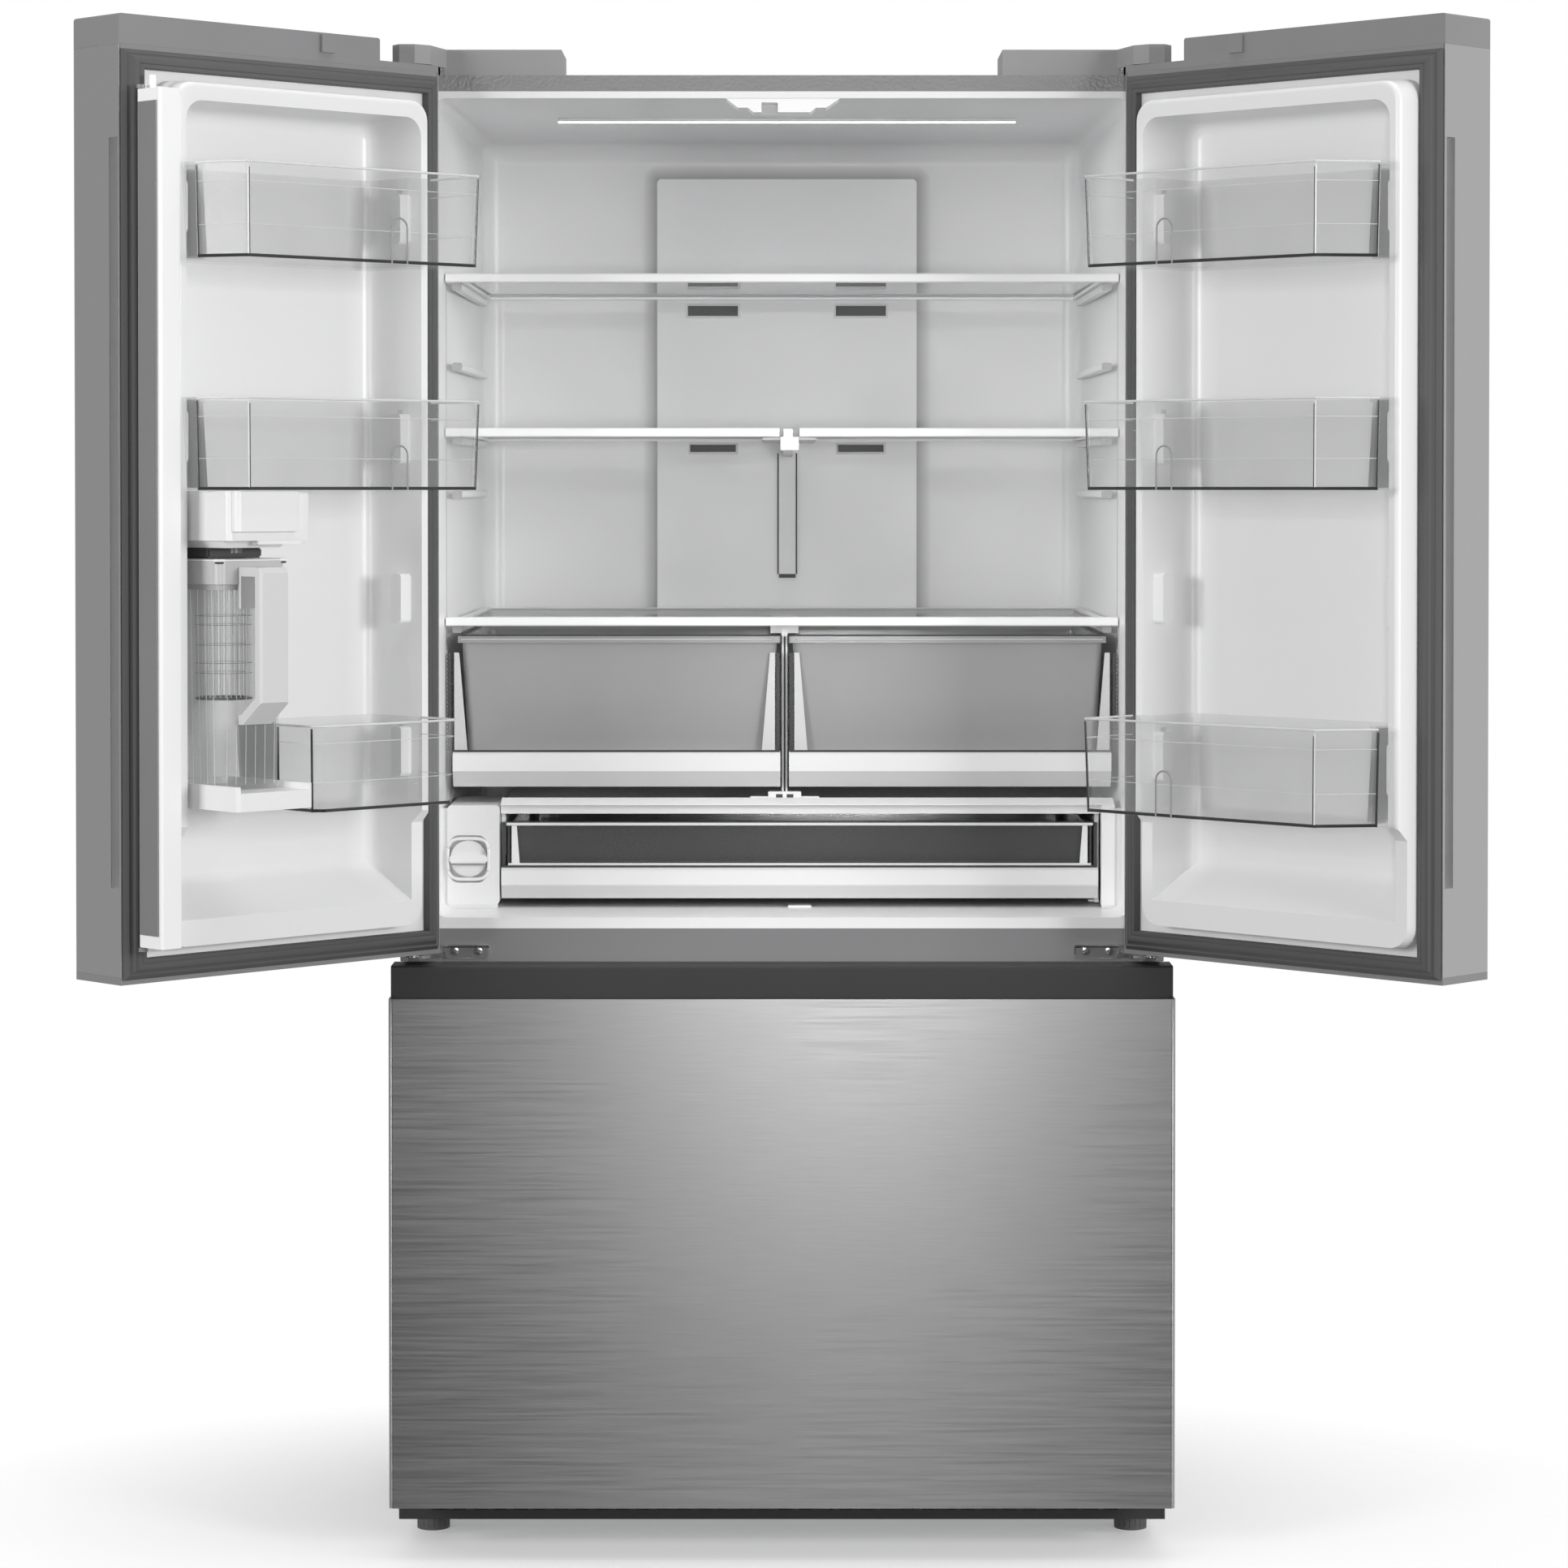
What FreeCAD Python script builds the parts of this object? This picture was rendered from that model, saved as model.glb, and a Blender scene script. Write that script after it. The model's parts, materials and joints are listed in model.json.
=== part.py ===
"""French door refrigerator with a bottom freezer drawer, as separate pieces.

Millimetres.  +X is right and +Y is back, seen by someone facing the doors, and +Z is up.
Pieces are built in cabinet coordinates: x = 0 on the centre line, y = 0 on the front plane
of the cabinet, z = 0 on the floor.  The doors are built closed and then swung open.
At the end everything is moved back so that the origin is at the bottom centre of the whole.
"""
import FreeCAD, Part
import math
import os

V = FreeCAD.Vector
X_AXIS, Y_AXIS, Z_AXIS = V(1, 0, 0), V(0, 1, 0), V(0, 0, 1)
ORIGIN = V(0, 0, 0)

# ---- cabinet ----------------------------------------------------------------------------
CAB_HALF = 445.0            # half width of the steel case
CAB_BACK = 700.0            # rear plane of the case
CAB_BOTTOM = 30.0
CAB_TOP = 1728.0
CAB_CORNER = 6.0            # rounding of the case's two upper edges
SHEET = 1.2                 # steel sheet
WALL = 2.5                  # formed plastic sheet
FLANGE_IN = 420.0           # inner edge of the case's turned-in front flange
FLANGE_TOP = 1709.0         # lower edge of the top front flange
MACHINE_TOP = 290.0         # roof of the compressor compartment
MACHINE_FRONT = 450.0
COVER_SLOTS = (9, 14)       # rows and columns of louvres in the compressor cover
FOOT_X, FOOT_Y = 417.0, 65.0
FOOT_R, FOOT_HEIGHT, FOOT_STEM_R = 19.5, 24.0, 5.0
FOOT_GROOVES = 18
ROLLER_X, ROLLER_Y, ROLLER_R = 401.0, 624.0, 20.0
AXLE_R = 4.0

# ---- fresh food liner -------------------------------------------------------------------
LINER_HALF = 410.0          # at the mouth
LINER_HALF_BACK = 397.0     # at the rear wall
LINER_FLOOR = 737.0
LINER_ROOF = 1701.0
LINER_BACK = 650.0
LINER_CORNER, LINER_REAR_CORNER = 16.0, 28.0
LEDGE_Y = (150.0, 590.0)    # front and back of the shelf ledges on the side walls
LEDGE_DROP = 9.0
SPARE_LEDGES = (1240.0, 1395.0)
RAIL_Z = (668.0, 724.0)     # rail between the two compartments

# ---- freezer liner ----------------------------------------------------------------------
FREEZER_HALF = 400.0
FREEZER_FLOOR = 92.0
FREEZER_ROOF = 664.0
FREEZER_BACK = 560.0
FREEZER_STEP_Y = 430.0      # front of the hump over the compressor
FREEZER_STEP_Z = 310.0
BASKET_LEDGE_Z = (424.0, 432.0)

# ---- doors ------------------------------------------------------------------------------
DOOR_OUT = 455.0            # hinge side face
DOOR_GAP = 3.0              # free side face, from the centre line
DOOR_FRONT = -99.0
DOOR_REAR = -12.0
DOOR_BOTTOM = 700.6
DOOR_TOP = 1759.5
DOOR_STEP_Z = 1734.0        # lowered top under the hinge cover
DOOR_STEP_X = 368.0
SKIN_BOTTOM, SKIN_TOP = 709.0, 1726.0
SKIN_CORNER = 5.0
CAP_WALL = 3.0
PIN_X, PIN_Y, PIN_R = 434.8, -41.5, 6.0
PIN_PLAY = 0.06
BUSH_R = 13.0
HINGE_PLATE_Z = (1736.5, 1741.0)
HINGE_ARM_Z = (691.0, 696.0)
DOOR_OPEN = 135.2           # degrees, as stored
DYKE_CREST = 30.0           # how far the inner panel stands into the liner
DYKE_LOW_CREST = 14.0
DYKE_STEP_Z = (858.0, 873.0)
DYKE_TOP, DYKE_BOTTOM = 1690.0, 738.0
DYKE_OUT = 409.0
DYKE_FREE = {"left": 46.0, "right": 30.0}
GASKET_OUT, GASKET_IN = 451.0, 431.0
GASKET_FREE_OUT, GASKET_FREE_IN = 5.0, 30.0
BEAD_OUT = 441.0            # hinge side bead, near enough to the pin to swing clear of the case
GASKET_TOP, GASKET_BOTTOM = 1721.0, 706.0
SEAL_GAP = 0.5              # gasket face to cabinet face, door closed
GRIP_SLIT = (806.0, 1625.0)

# ---- mullion that folds on the left door ------------------------------------------------
MULLION_W, MULLION_T = 42.0, 30.0
MULLION_Z = (743.5, 1676.0)
MULLION_AXIS = (-18.25, 8.25)
MULLION_FOLDED = (-42.0, 5.5)      # low x, low y corner when folded back
MULLION_POST = (-30.0, 12.5)       # guide post on its top, folded back

# ---- freezer drawer ---------------------------------------------------------------------
DRAWER_BOTTOM, DRAWER_STEEL_TOP, DRAWER_TOP = 62.0, 652.6, 687.0
DRAWER_CAP_Y = -65.0
POCKET_FLOOR = 622.0
BIN_Z, BASKET_Z = (104.0, 396.0), (440.0, 560.0)

# ---- shelves and boxes inside -----------------------------------------------------------
INNER_FRONT = 125.0         # front plane of the shelves, just clear of the door bins
SHELF_HALF = 396.0
TRIM_HALF = 406.0           # front trims of the shelves reach the liner's walls
SHELF_T = 10.5
GLASS_T, GLASS_PLAY = 4.0, 0.2
TOP_SHELF_Z, SPLIT_SHELF_Z, COVER_SHELF_Z = 1491.5, 1305.0, 1076.5
SHELF_REAR = 612.0
DUCT_X = (-165.5, 178.5)
DUCT_Y = (620.0, 649.5)
DUCT_BOTTOM, DUCT_TOP = 776.0, 1652.0
TRACK_X = (-4.0, 18.0)
TRACK_Z = (1129.0, 1289.0)
DUCT_VENTS = ((1471.0, 13.0, 66.0), (1510.0, 10.0, 66.0), (1291.0, 9.0, 60.0))  # z, height, width
VENT_SPREAD = 98.0          # middle of a vent from the duct's centre line
CRISPER_X = {"left": (-392.0, -2.0), "right": (8.5, 392.0)}
CRISPER_Z = (890.0, 1062.0)
CRISPER_BAR_X = {"left": (-398.0, -2.0), "right": (8.5, 398.0)}
DELI_BAR_X = (-338.0, 380.5)
KNOB_X, KNOB_Z, KNOB_R = -377.0, 797.5, 22.0

# ---- door bins: door, z of the bottom, z of the top --------------------------------------
BINS = {
    "left_upper_bin": ("left", 1493.0, 1597.0),
    "left_middle_bin": ("left", 1241.0, 1342.0),
    "right_upper_bin": ("right", 1493.0, 1597.0),
    "right_middle_bin": ("right", 1241.0, 1342.0),
    "right_lower_bin": ("right", 876.0, 983.0),
}
SMALL_BIN_Z = (886.0, 982.0)
BIN_WALL = 2.4
LUG_HEIGHT = 57.0
LUG_RISE = 30.0             # bottom of a bin to the bottom of the lugs that carry it
SPARE_LUG_Z, SMALL_LUG_Z = 1088.0, 912.0
JUG_TOP = 1166.0            # below this the left door has no lugs on its free side
JUG_X, JUG_Y, JUG_Z = (-164.0, -73.0), (-30.0, 72.0), (913.2, 1138.0)
JUG_HANDLE_X = (-138.0, -99.0)

parts = {}


# ---- small helpers ----------------------------------------------------------------------
def add(name, *solids):
    """Register a node: one solid, or a group of separate solids."""
    parts[name] = solids[0] if len(solids) == 1 else Part.makeCompound(list(solids))


def box(x0, x1, y0, y1, z0, z1):
    return Part.makeBox(x1 - x0, y1 - y0, z1 - z0, V(x0, y0, z0))


def rod(x, y, z, radius, length, axis=Z_AXIS):
    return Part.makeCylinder(radius, length, V(x, y, z), axis)


def fused(first, *others):
    return first.fuse(list(others)).removeSplitter()


def mirrored(shape):
    return shape.mirror(ORIGIN, X_AXIS)


def both_sides(shape):
    return [shape, mirrored(shape)]


def edges_along(shape, axis, keep=lambda p: True):
    """Straight edges close to the direction of an axis, whose middle passes keep()."""
    found = []
    for edge in shape.Edges:
        if len(edge.Vertexes) != 2:
            continue
        run = edge.Vertexes[1].Point.sub(edge.Vertexes[0].Point)
        straight = abs(run.Length - edge.Length) < 1e-4
        if straight and abs(run.normalize().dot(axis)) > 0.93 and keep(edge.CenterOfMass):
            found.append(edge)
    return found


def rounded(shape, radius, axis, keep=lambda p: True):
    return shape.makeFillet(radius, edges_along(shape, axis, keep))


def rounded_box(x0, x1, y0, y1, z0, z1, radius, axis=Z_AXIS):
    return rounded(box(x0, x1, y0, y1, z0, z1), radius, axis)


def prism(points, z0, z1):
    """Upright prism over a closed outline in plan."""
    loop = [V(x, y, z0) for x, y in points]
    return Part.Face(Part.makePolygon(loop + loop[:1])).extrude(V(0, 0, z1 - z0))


def profile_along_x(points, x0, x1):
    """Prism along x over a closed outline of (y, z) points."""
    loop = [V(x0, y, z) for y, z in points]
    return Part.Face(Part.makePolygon(loop + loop[:1])).extrude(V(x1 - x0, 0, 0))


def profile_along_y(points, y0, y1):
    """Prism along y over a closed outline of (x, z) points."""
    loop = [V(x, y0, z) for x, z in points]
    return Part.Face(Part.makePolygon(loop + loop[:1])).extrude(V(0, y1 - y0, 0))


def flat_face(loop):
    return Part.Face(Part.makePolygon(loop + loop[:1]))


def spanned(low, high):
    """Solid between two closed loops of points that have parallel sides."""
    base = flat_face(low)
    if base.normalAt(0, 0).dot(high[0].sub(low[0])) > 0:
        low, high = low[::-1], high[::-1]
    faces = [flat_face(low), flat_face(high)]
    for i in range(len(low)):
        faces.append(flat_face([low[i - 1], low[i], high[i], high[i - 1]]))
    return Part.makeSolid(Part.makeShell(faces))


def taper(y0, rect0, y1, rect1):
    """Solid between two upright rectangles (x0, x1, z0, z1) at y0 and y1."""
    loops = []
    for y, (xa, xb, za, zb) in ((y0, rect0), (y1, rect1)):
        loops.append([V(xa, y, za), V(xb, y, za), V(xb, y, zb), V(xa, y, zb)])
    return spanned(*loops)


def inset(points, distance):
    """Closed outline moved inwards by distance, corner by corner."""
    count = len(points)
    area = sum(points[i][0] * points[(i + 1) % count][1] - points[(i + 1) % count][0] * points[i][1]
               for i in range(count))
    side = 1.0 if area > 0 else -1.0
    moved = []
    for i in range(count):
        before, here, after = points[i - 1], points[i], points[(i + 1) % count]
        a = (here[0] - before[0], here[1] - before[1])
        b = (after[0] - here[0], after[1] - here[1])
        la, lb = math.hypot(*a), math.hypot(*b)
        na = (-a[1] / la * side, a[0] / la * side)
        nb = (-b[1] / lb * side, b[0] / lb * side)
        scale = distance / (1.0 + na[0] * nb[0] + na[1] * nb[1])
        moved.append((here[0] + (na[0] + nb[0]) * scale, here[1] + (na[1] + nb[1]) * scale))
    return moved


def drafted(points, z0, z1, draft):
    """Upright solid whose outline shrinks by draft at the bottom."""
    return spanned([V(x, y, z0) for x, y in inset(points, draft)], [V(x, y, z1) for x, y in points])


def tub(points, z0, z1, draft, wall, corner):
    """Open-topped box over an outline, with rounded upright corners and a drafted wall."""
    outer = rounded(drafted(points, z0, z1, draft), corner, Z_AXIS)
    hollow = drafted(inset(points, wall), z0 + wall, z1 + wall, draft)
    return outer.cut(rounded(hollow, corner - wall, Z_AXIS))


def rectangle(x0, x1, y0, y1):
    return [(x0, y0), (x1, y0), (x1, y1), (x0, y1)]


# ---- the steel case ---------------------------------------------------------------------
def cabinet_shell():
    """Wrapped side and top sheet with turned-in front flanges."""
    outer = rounded(box(-CAB_HALF, CAB_HALF, 0, CAB_BACK, CAB_BOTTOM, CAB_TOP), CAB_CORNER, Y_AXIS,
                    lambda p: p.z > CAB_TOP - 1)
    hollow = box(-CAB_HALF + SHEET, CAB_HALF - SHEET, SHEET, CAB_BACK + 1, CAB_BOTTOM - 1, CAB_TOP - SHEET)
    mouth = box(-FLANGE_IN, FLANGE_IN, -1, SHEET + 1, CAB_BOTTOM - 1, FLANGE_TOP)
    lower_rail = box(-FLANGE_IN, FLANGE_IN, 0, 18.0, 64.0, 89.0)
    side_foot = box(FLANGE_IN + 5, CAB_HALF, 0, 120.0, CAB_BOTTOM, CAB_BOTTOM + SHEET)
    return fused(outer.cut(hollow).cut(mouth), lower_rail, *both_sides(side_foot))


def fresh_liner(grow):
    """The fresh food cavity, or its outside when grown by the sheet thickness."""
    front = (-LINER_HALF - grow, LINER_HALF + grow, LINER_FLOOR - grow, LINER_ROOF + grow)
    back = (-LINER_HALF_BACK - grow, LINER_HALF_BACK + grow, LINER_FLOOR - grow + 4, LINER_ROOF + grow - 1)
    solid = taper(0, front, LINER_BACK + grow, back)
    solid = rounded(solid, LINER_CORNER + grow, Y_AXIS)
    rear = [e for e in solid.Edges if abs(e.CenterOfMass.y - LINER_BACK - grow) < 0.5]
    return solid.makeFillet(LINER_REAR_CORNER + grow, rear)


def freezer_cavity(grow):
    """The freezer cavity with its hump over the compressor, or its outside when grown."""
    upper = box(-FREEZER_HALF - grow, FREEZER_HALF + grow, 0, FREEZER_BACK + grow,
                FREEZER_STEP_Z - grow, FREEZER_ROOF + grow)
    lower = box(-FREEZER_HALF - grow, FREEZER_HALF + grow, 0, FREEZER_STEP_Y + grow,
                FREEZER_FLOOR - grow, FREEZER_ROOF)
    return rounded(fused(upper, lower), 14.0 + grow, Y_AXIS, lambda p: p.z > 600 or p.z < 100)


def ledges(z_values):
    """Pairs of shelf ledges moulded on the liner's side walls."""
    found = []
    for z in z_values:
        ledge = rounded_box(SHELF_HALF - 8, LINER_HALF_BACK + 3, *LEDGE_Y, z - LEDGE_DROP, z, 2.5, Y_AXIS)
        found += both_sides(ledge)
    return found


def cabinet_pieces():
    add("cabinet_shell", cabinet_shell())
    back = box(-CAB_HALF + 2, CAB_HALF - 2, CAB_BACK - 4, CAB_BACK - 4 + SHEET, MACHINE_TOP + 2, CAB_TOP - 2)
    ribs = [box(x - 18, x + 18, CAB_BACK - 4 + SHEET, CAB_BACK - 1, 380, 1650) for x in (-280, -95, 95, 280)]
    add("cabinet_back", fused(back, *ribs))

    rim = box(-FLANGE_IN, FLANGE_IN, 0, 3.0, 724.2, FLANGE_TOP)
    liner = fused(fresh_liner(WALL), rim).cut(fresh_liner(0))
    levels = (TOP_SHELF_Z, SPLIT_SHELF_Z, COVER_SHELF_Z) + SPARE_LEDGES
    add("fridge_liner", fused(liner, *ledges(levels)))

    freezer_rim = box(-FLANGE_IN, FLANGE_IN, 0, 2.0, 90.2, 667.8)
    basket_ledges = both_sides(box(388.0, FREEZER_HALF + 1, 24.0, 540.0, *BASKET_LEDGE_Z))
    freezer = fused(freezer_cavity(WALL), freezer_rim).cut(freezer_cavity(0))
    add("freezer_liner", fused(freezer, *basket_ledges))

    rail_low, rail_high = RAIL_Z
    rail_hollow = box(-FLANGE_IN - 1, FLANGE_IN + 1, 2.0, 43.0, rail_low + 2, rail_high - 2)
    add("mid_rail", box(-FLANGE_IN, FLANGE_IN, 0, 42.0, rail_low, rail_high).cut(rail_hollow))

    core = box(-CAB_HALF + SHEET, CAB_HALF - SHEET, 3.2, CAB_BACK - 4.2, 92.0, CAB_TOP - SHEET)
    core = core.cut(box(-FLANGE_IN, FLANGE_IN, 0, 42.2, 60.0, rail_high + 0.2))
    core = core.cut(fresh_liner(WALL)).cut(freezer_cavity(WALL))
    core = core.cut(box(-CAB_HALF, CAB_HALF, MACHINE_FRONT, CAB_BACK, 0, MACHINE_TOP + 2))
    core = core.cut(box(-330, 330, FREEZER_BACK + WALL, 646.0, 330.0, 640.0))
    add("insulation_foam", core.cut(box(-FLANGE_IN, FLANGE_IN, 0, 20.0, 0, 92.5)))

    pan = box(-CAB_HALF + 2, CAB_HALF - 2, 40.0, CAB_BACK - 6, CAB_BOTTOM + 2, CAB_BOTTOM + 4)
    front_pads = both_sides(box(386, 443, 40.0, 92.0, CAB_BOTTOM + 4, 62.0))
    roller_ears = []
    for x in (372.0, 426.0):
        roller_ears += both_sides(box(x, x + 3, 596, 652, CAB_BOTTOM - 16, CAB_BOTTOM + 2))
    pan = fused(pan, *(front_pads + roller_ears))
    for side in (-1, 1):
        pan = pan.cut(rod(side * FOOT_X, FOOT_Y, 0, FOOT_STEM_R + 0.1, 70.0))
        x = side * ROLLER_X
        pan = pan.cut(box(x - 22, x + 22, ROLLER_Y - 25, ROLLER_Y + 25, 20, CAB_BOTTOM + 5))
    add("base_pan", pan.cut(rod(-440, ROLLER_Y, ROLLER_R, AXLE_R + PIN_PLAY, 880, X_AXIS)))

    grille = rounded_box(-452, 452, -8.0, -1.0, 27.0, 60.0, 2.0)
    for i in range(34):
        x = -412 + i * 24
        grille = grille.cut(box(x, x + 16, -9, -0.5, 38.0, 42.0)).cut(box(x, x + 16, -9, -0.5, 47.0, 51.0))
    add("kick_grille", grille)


# ---- cooling system ---------------------------------------------------------------------
def serpentine(x0, x1, y, z_values, radius):
    """Tube that runs back and forth along x, one run per height."""
    runs = []
    for i, z in enumerate(z_values):
        runs.append(rod(x0, y, z, radius, x1 - x0, X_AXIS))
        if i + 1 < len(z_values):
            rise = z_values[i + 1] - z
            end = x1 if i % 2 == 0 else x0
            bend = Part.makeTorus(rise / 2, radius, V(end, y, z + rise / 2), Y_AXIS)
            half = box(end, end + rise, y - rise, y + rise, z - radius - 1, z + rise + radius + 1)
            if end == x0:
                half = box(end - rise, end, y - rise, y + rise, z - radius - 1, z + rise + radius + 1)
            runs.append(bend.common(half))
    return fused(runs[0], *runs[1:])


def fin_pack(x0, x1, y0, y1, z0, z1, pitch, tube):
    """Thin plate fins on a serpentine tube, as one soldered piece."""
    fins = []
    x = x0
    while x < x1:
        fins.append(box(x, x + 1.0, y0, y1, z0, z1))
        x += pitch
    return fused(tube, *fins)


def cooling_pieces():
    stretch = FreeCAD.Matrix(1.25, 0, 0, 0, 0, 0.95, 0, 0, 0, 0, 1.05, 0)
    dome = Part.makeSphere(74.0).transformGeometry(stretch)
    dome.translate(V(-250, 585, 122))
    dome = dome.cut(box(-400, -100, 450, 700, 0, 56))
    feet = [box(-355, -145, 516, 654, 44, 48), box(-300, -200, 550, 620, 46, 62)]
    grommets = [rod(x, y, CAB_BOTTOM + 4, 9, 11) for x in (-342, -158) for y in (530, 640)]
    terminal = rounded_box(-352, -318, 560, 612, 100, 150, 4)
    add("compressor", fused(dome, terminal, *(feet + grommets)))

    coil = serpentine(-60.0, 150.0, 585.0, [60.0 + 24 * i for i in range(7)], 3.2)
    fan_ring = rod(220, 570, 130, 78, 34, Y_AXIS).cut(rod(220, 569, 130, 70, 36, Y_AXIS))
    hub = rod(220, 572, 130, 22, 30, Y_AXIS)
    blades = []
    for i in range(5):
        blade = box(-9, 9, -1.5, 1.5, 18, 68)
        blade.rotate(ORIGIN, Z_AXIS, 35)
        blade.rotate(ORIGIN, Y_AXIS, i * 72)
        blade.translate(V(220, 587, 130))
        blades.append(blade)
    struts = [box(218, 222, 600, 604, 52, 208), box(142, 298, 600, 604, 128, 132)]
    stand = box(190, 250, 568, 606, CAB_BOTTOM + 4, 56)
    add("condenser", fin_pack(-50.0, 140.0, 560.0, 610.0, 50.0, 214.0, 9.5, coil),
        fused(fan_ring, hub, stand, *(blades + struts)))

    tube = serpentine(-270.0, 270.0, 604.0, [360.0 + 28 * i for i in range(9)], 4.0)
    add("evaporator", fin_pack(-262.0, 262.0, 584.0, 624.0, 348.0, 596.0, 16.0, tube))

    cover = box(-CAB_HALF + 3, CAB_HALF - 3, CAB_BACK - 3, CAB_BACK - 1, 36.0, MACHINE_TOP)
    rows, columns = COVER_SLOTS
    for row in range(rows):
        for column in range(columns):
            x = -390 + column * 57
            cover = cover.cut(box(x, x + 34, CAB_BACK - 4, CAB_BACK, 66 + row * 22, 73 + row * 22))
    add("compressor_cover", cover)

    # water valve with a quarter inch compression stub, and the mains inlet
    plate = rounded_box(318, 372, CAB_BACK, CAB_BACK + 12, 200, 262, 4, Y_AXIS)
    stub = [rod(345, CAB_BACK + 12, 231, 9.0, 10, Y_AXIS), rod(345, CAB_BACK + 22, 231, 3.175, 16, Y_AXIS)]
    spigot = rod(345, CAB_BACK - 0.8, 231, 9.0, 0.8, Y_AXIS)
    add("water_inlet", fused(plate, spigot, *stub))
    inlet = rounded_box(-372, -318, CAB_BACK - 1, CAB_BACK + 11, 92, 140, 5, Y_AXIS)
    add("power_inlet", inlet.cut(rounded_box(-358, -332, CAB_BACK + 3, CAB_BACK + 12, 107, 125, 3, Y_AXIS)))


# ---- hinges -----------------------------------------------------------------------------
def hinge_pieces():
    upper = prism([(-300, 8), (-300, 92), (-406, 92), (-406, 30), (-440, -22), (-444, -44), (-438, -52),
                   (-430, -52), (-416, -42), (-398, 8)], *HINGE_PLATE_Z)
    pad = prism([(-300, 8), (-300, 92), (-406, 92), (-406, 30), (-402, 8)], CAB_TOP, HINGE_PLATE_Z[0])
    upper = fused(upper, pad, rod(-PIN_X, PIN_Y, 1712.0, PIN_R, 27.0))
    screws = [rod(x, y, HINGE_PLATE_Z[1], 5.0, 3.0) for x, y in ((-320, 24), (-320, 78), (-388, 50))]
    upper = fused(upper, *screws)

    arm = prism([(-344, -3), (-344, 0), (-447, 0), (-447, -36), (-445, -50), (-436, -54), (-424, -50),
                 (-412, -22), (-396, -3)], *HINGE_ARM_Z)
    plate = rounded_box(-397, -344, -3.0, 0.0, 689.0, 705.4, 2.5, Y_AXIS)
    lower = fused(arm, plate, rod(-PIN_X, PIN_Y, 694.0, PIN_R, 32.0),
                  rod(-PIN_X, PIN_Y, HINGE_ARM_Z[1], 11.0, 4.2))
    heads = [rod(x, -5.2, 698.0, 4.0, 2.4, Y_AXIS) for x in (-385, -357)]
    lower = fused(lower, *heads)
    add("door_hinges", *(both_sides(upper) + both_sides(lower)))

    cover = prism([(-259, 2), (-259, 112), (-418, 112), (-418, 24), (-452, -14), (-453, -46), (-444, -60),
                 (-426, -60), (-409, -46), (-394, 2)], CAB_TOP + 0.2, 1758.0)
    cover = cover.cut(prism([(-262, 5), (-262, 109), (-415, 109), (-415, 23), (-449, -15), (-450, -45),
                             (-442.5, -57), (-427.5, -57), (-412, -45), (-397, 5)], CAB_TOP - 1, 1755.0))
    cover = cover.cut(box(-460, -376, -70, 0.5, CAB_TOP, 1735.8))
    add("hinge_covers", *both_sides(cover))


# ---- fittings inside the fresh food compartment -----------------------------------------
def shelf_pieces():
    panes, frames = [], []

    def shelf(x0, x1, z, front_x0, front_x1):
        """Glass pane held in a front trim, two side rails and a rear trim."""
        trim = rounded_box(front_x0, front_x1, INNER_FRONT, INNER_FRONT + 26, z, z + SHELF_T, 2.0, X_AXIS)
        rails = [box(x0, x0 + 12, INNER_FRONT + 24, SHELF_REAR, z, z + 8),
                 box(x1 - 12, x1, INNER_FRONT + 24, SHELF_REAR, z, z + 8),
                 box(x0, x1, SHELF_REAR - 16, SHELF_REAR, z, z + 8)]
        frame = fused(trim, *rails)
        edges = (x0 + 6, x1 - 6, INNER_FRONT + 8, SHELF_REAR - 6)
        low, high = z + 3.0, z + 3.0 + GLASS_T + GLASS_PLAY
        frames.append(frame.cut(box(*edges, low, high)))
        gaps = (GLASS_PLAY, -GLASS_PLAY, GLASS_PLAY, -GLASS_PLAY)
        panes.append(box(*[edge + gap for edge, gap in zip(edges, gaps)], low + GLASS_PLAY, high))

    shelf(-SHELF_HALF, SHELF_HALF, TOP_SHELF_Z, -TRIM_HALF, TRIM_HALF)
    shelf(-SHELF_HALF, -3.0, SPLIT_SHELF_Z, -TRIM_HALF, -3.0)
    shelf(21.5, SHELF_HALF, SPLIT_SHELF_Z, 21.5, TRIM_HALF)
    shelf(-SHELF_HALF, SHELF_HALF, COVER_SHELF_Z, -TRIM_HALF, TRIM_HALF)
    add("shelf_panes", *panes)
    add("shelf_frames", *frames)

    # slotted track on the duct panel, with the bracket that carries the split shelves
    track = box(TRACK_X[0], TRACK_X[1], DUCT_Y[0] - 4, DUCT_Y[0], *TRACK_Z)
    for i in range(4):
        z = TRACK_Z[0] + 16 + i * 36
        track = track.cut(box(TRACK_X[0] + 7, TRACK_X[1] - 7, DUCT_Y[0] - 5, DUCT_Y[0] + 1, z, z + 20))
    arm = profile_along_x([(DUCT_Y[0] - 4, 1284), (DUCT_Y[0] - 4, 1304.8), (INNER_FRONT + 2, 1304.8),
                           (INNER_FRONT + 2, 1290), (INNER_FRONT + 60, 1284)], 1.5, 13.5)
    head = rounded_box(-2.0, 20.5, INNER_FRONT + 2, INNER_FRONT + 40, 1289.0, 1304.8, 3.0)
    wings = box(-24.0, 42.0, INNER_FRONT + 60, SHELF_REAR - 20, 1301.8, 1304.8)
    keel = box(2.0, 13.0, INNER_FRONT + 3, DUCT_Y[0] - 6, 1304.8, 1314.5)
    add("shelf_track", fused(track, arm, head, wings, keel))


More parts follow.
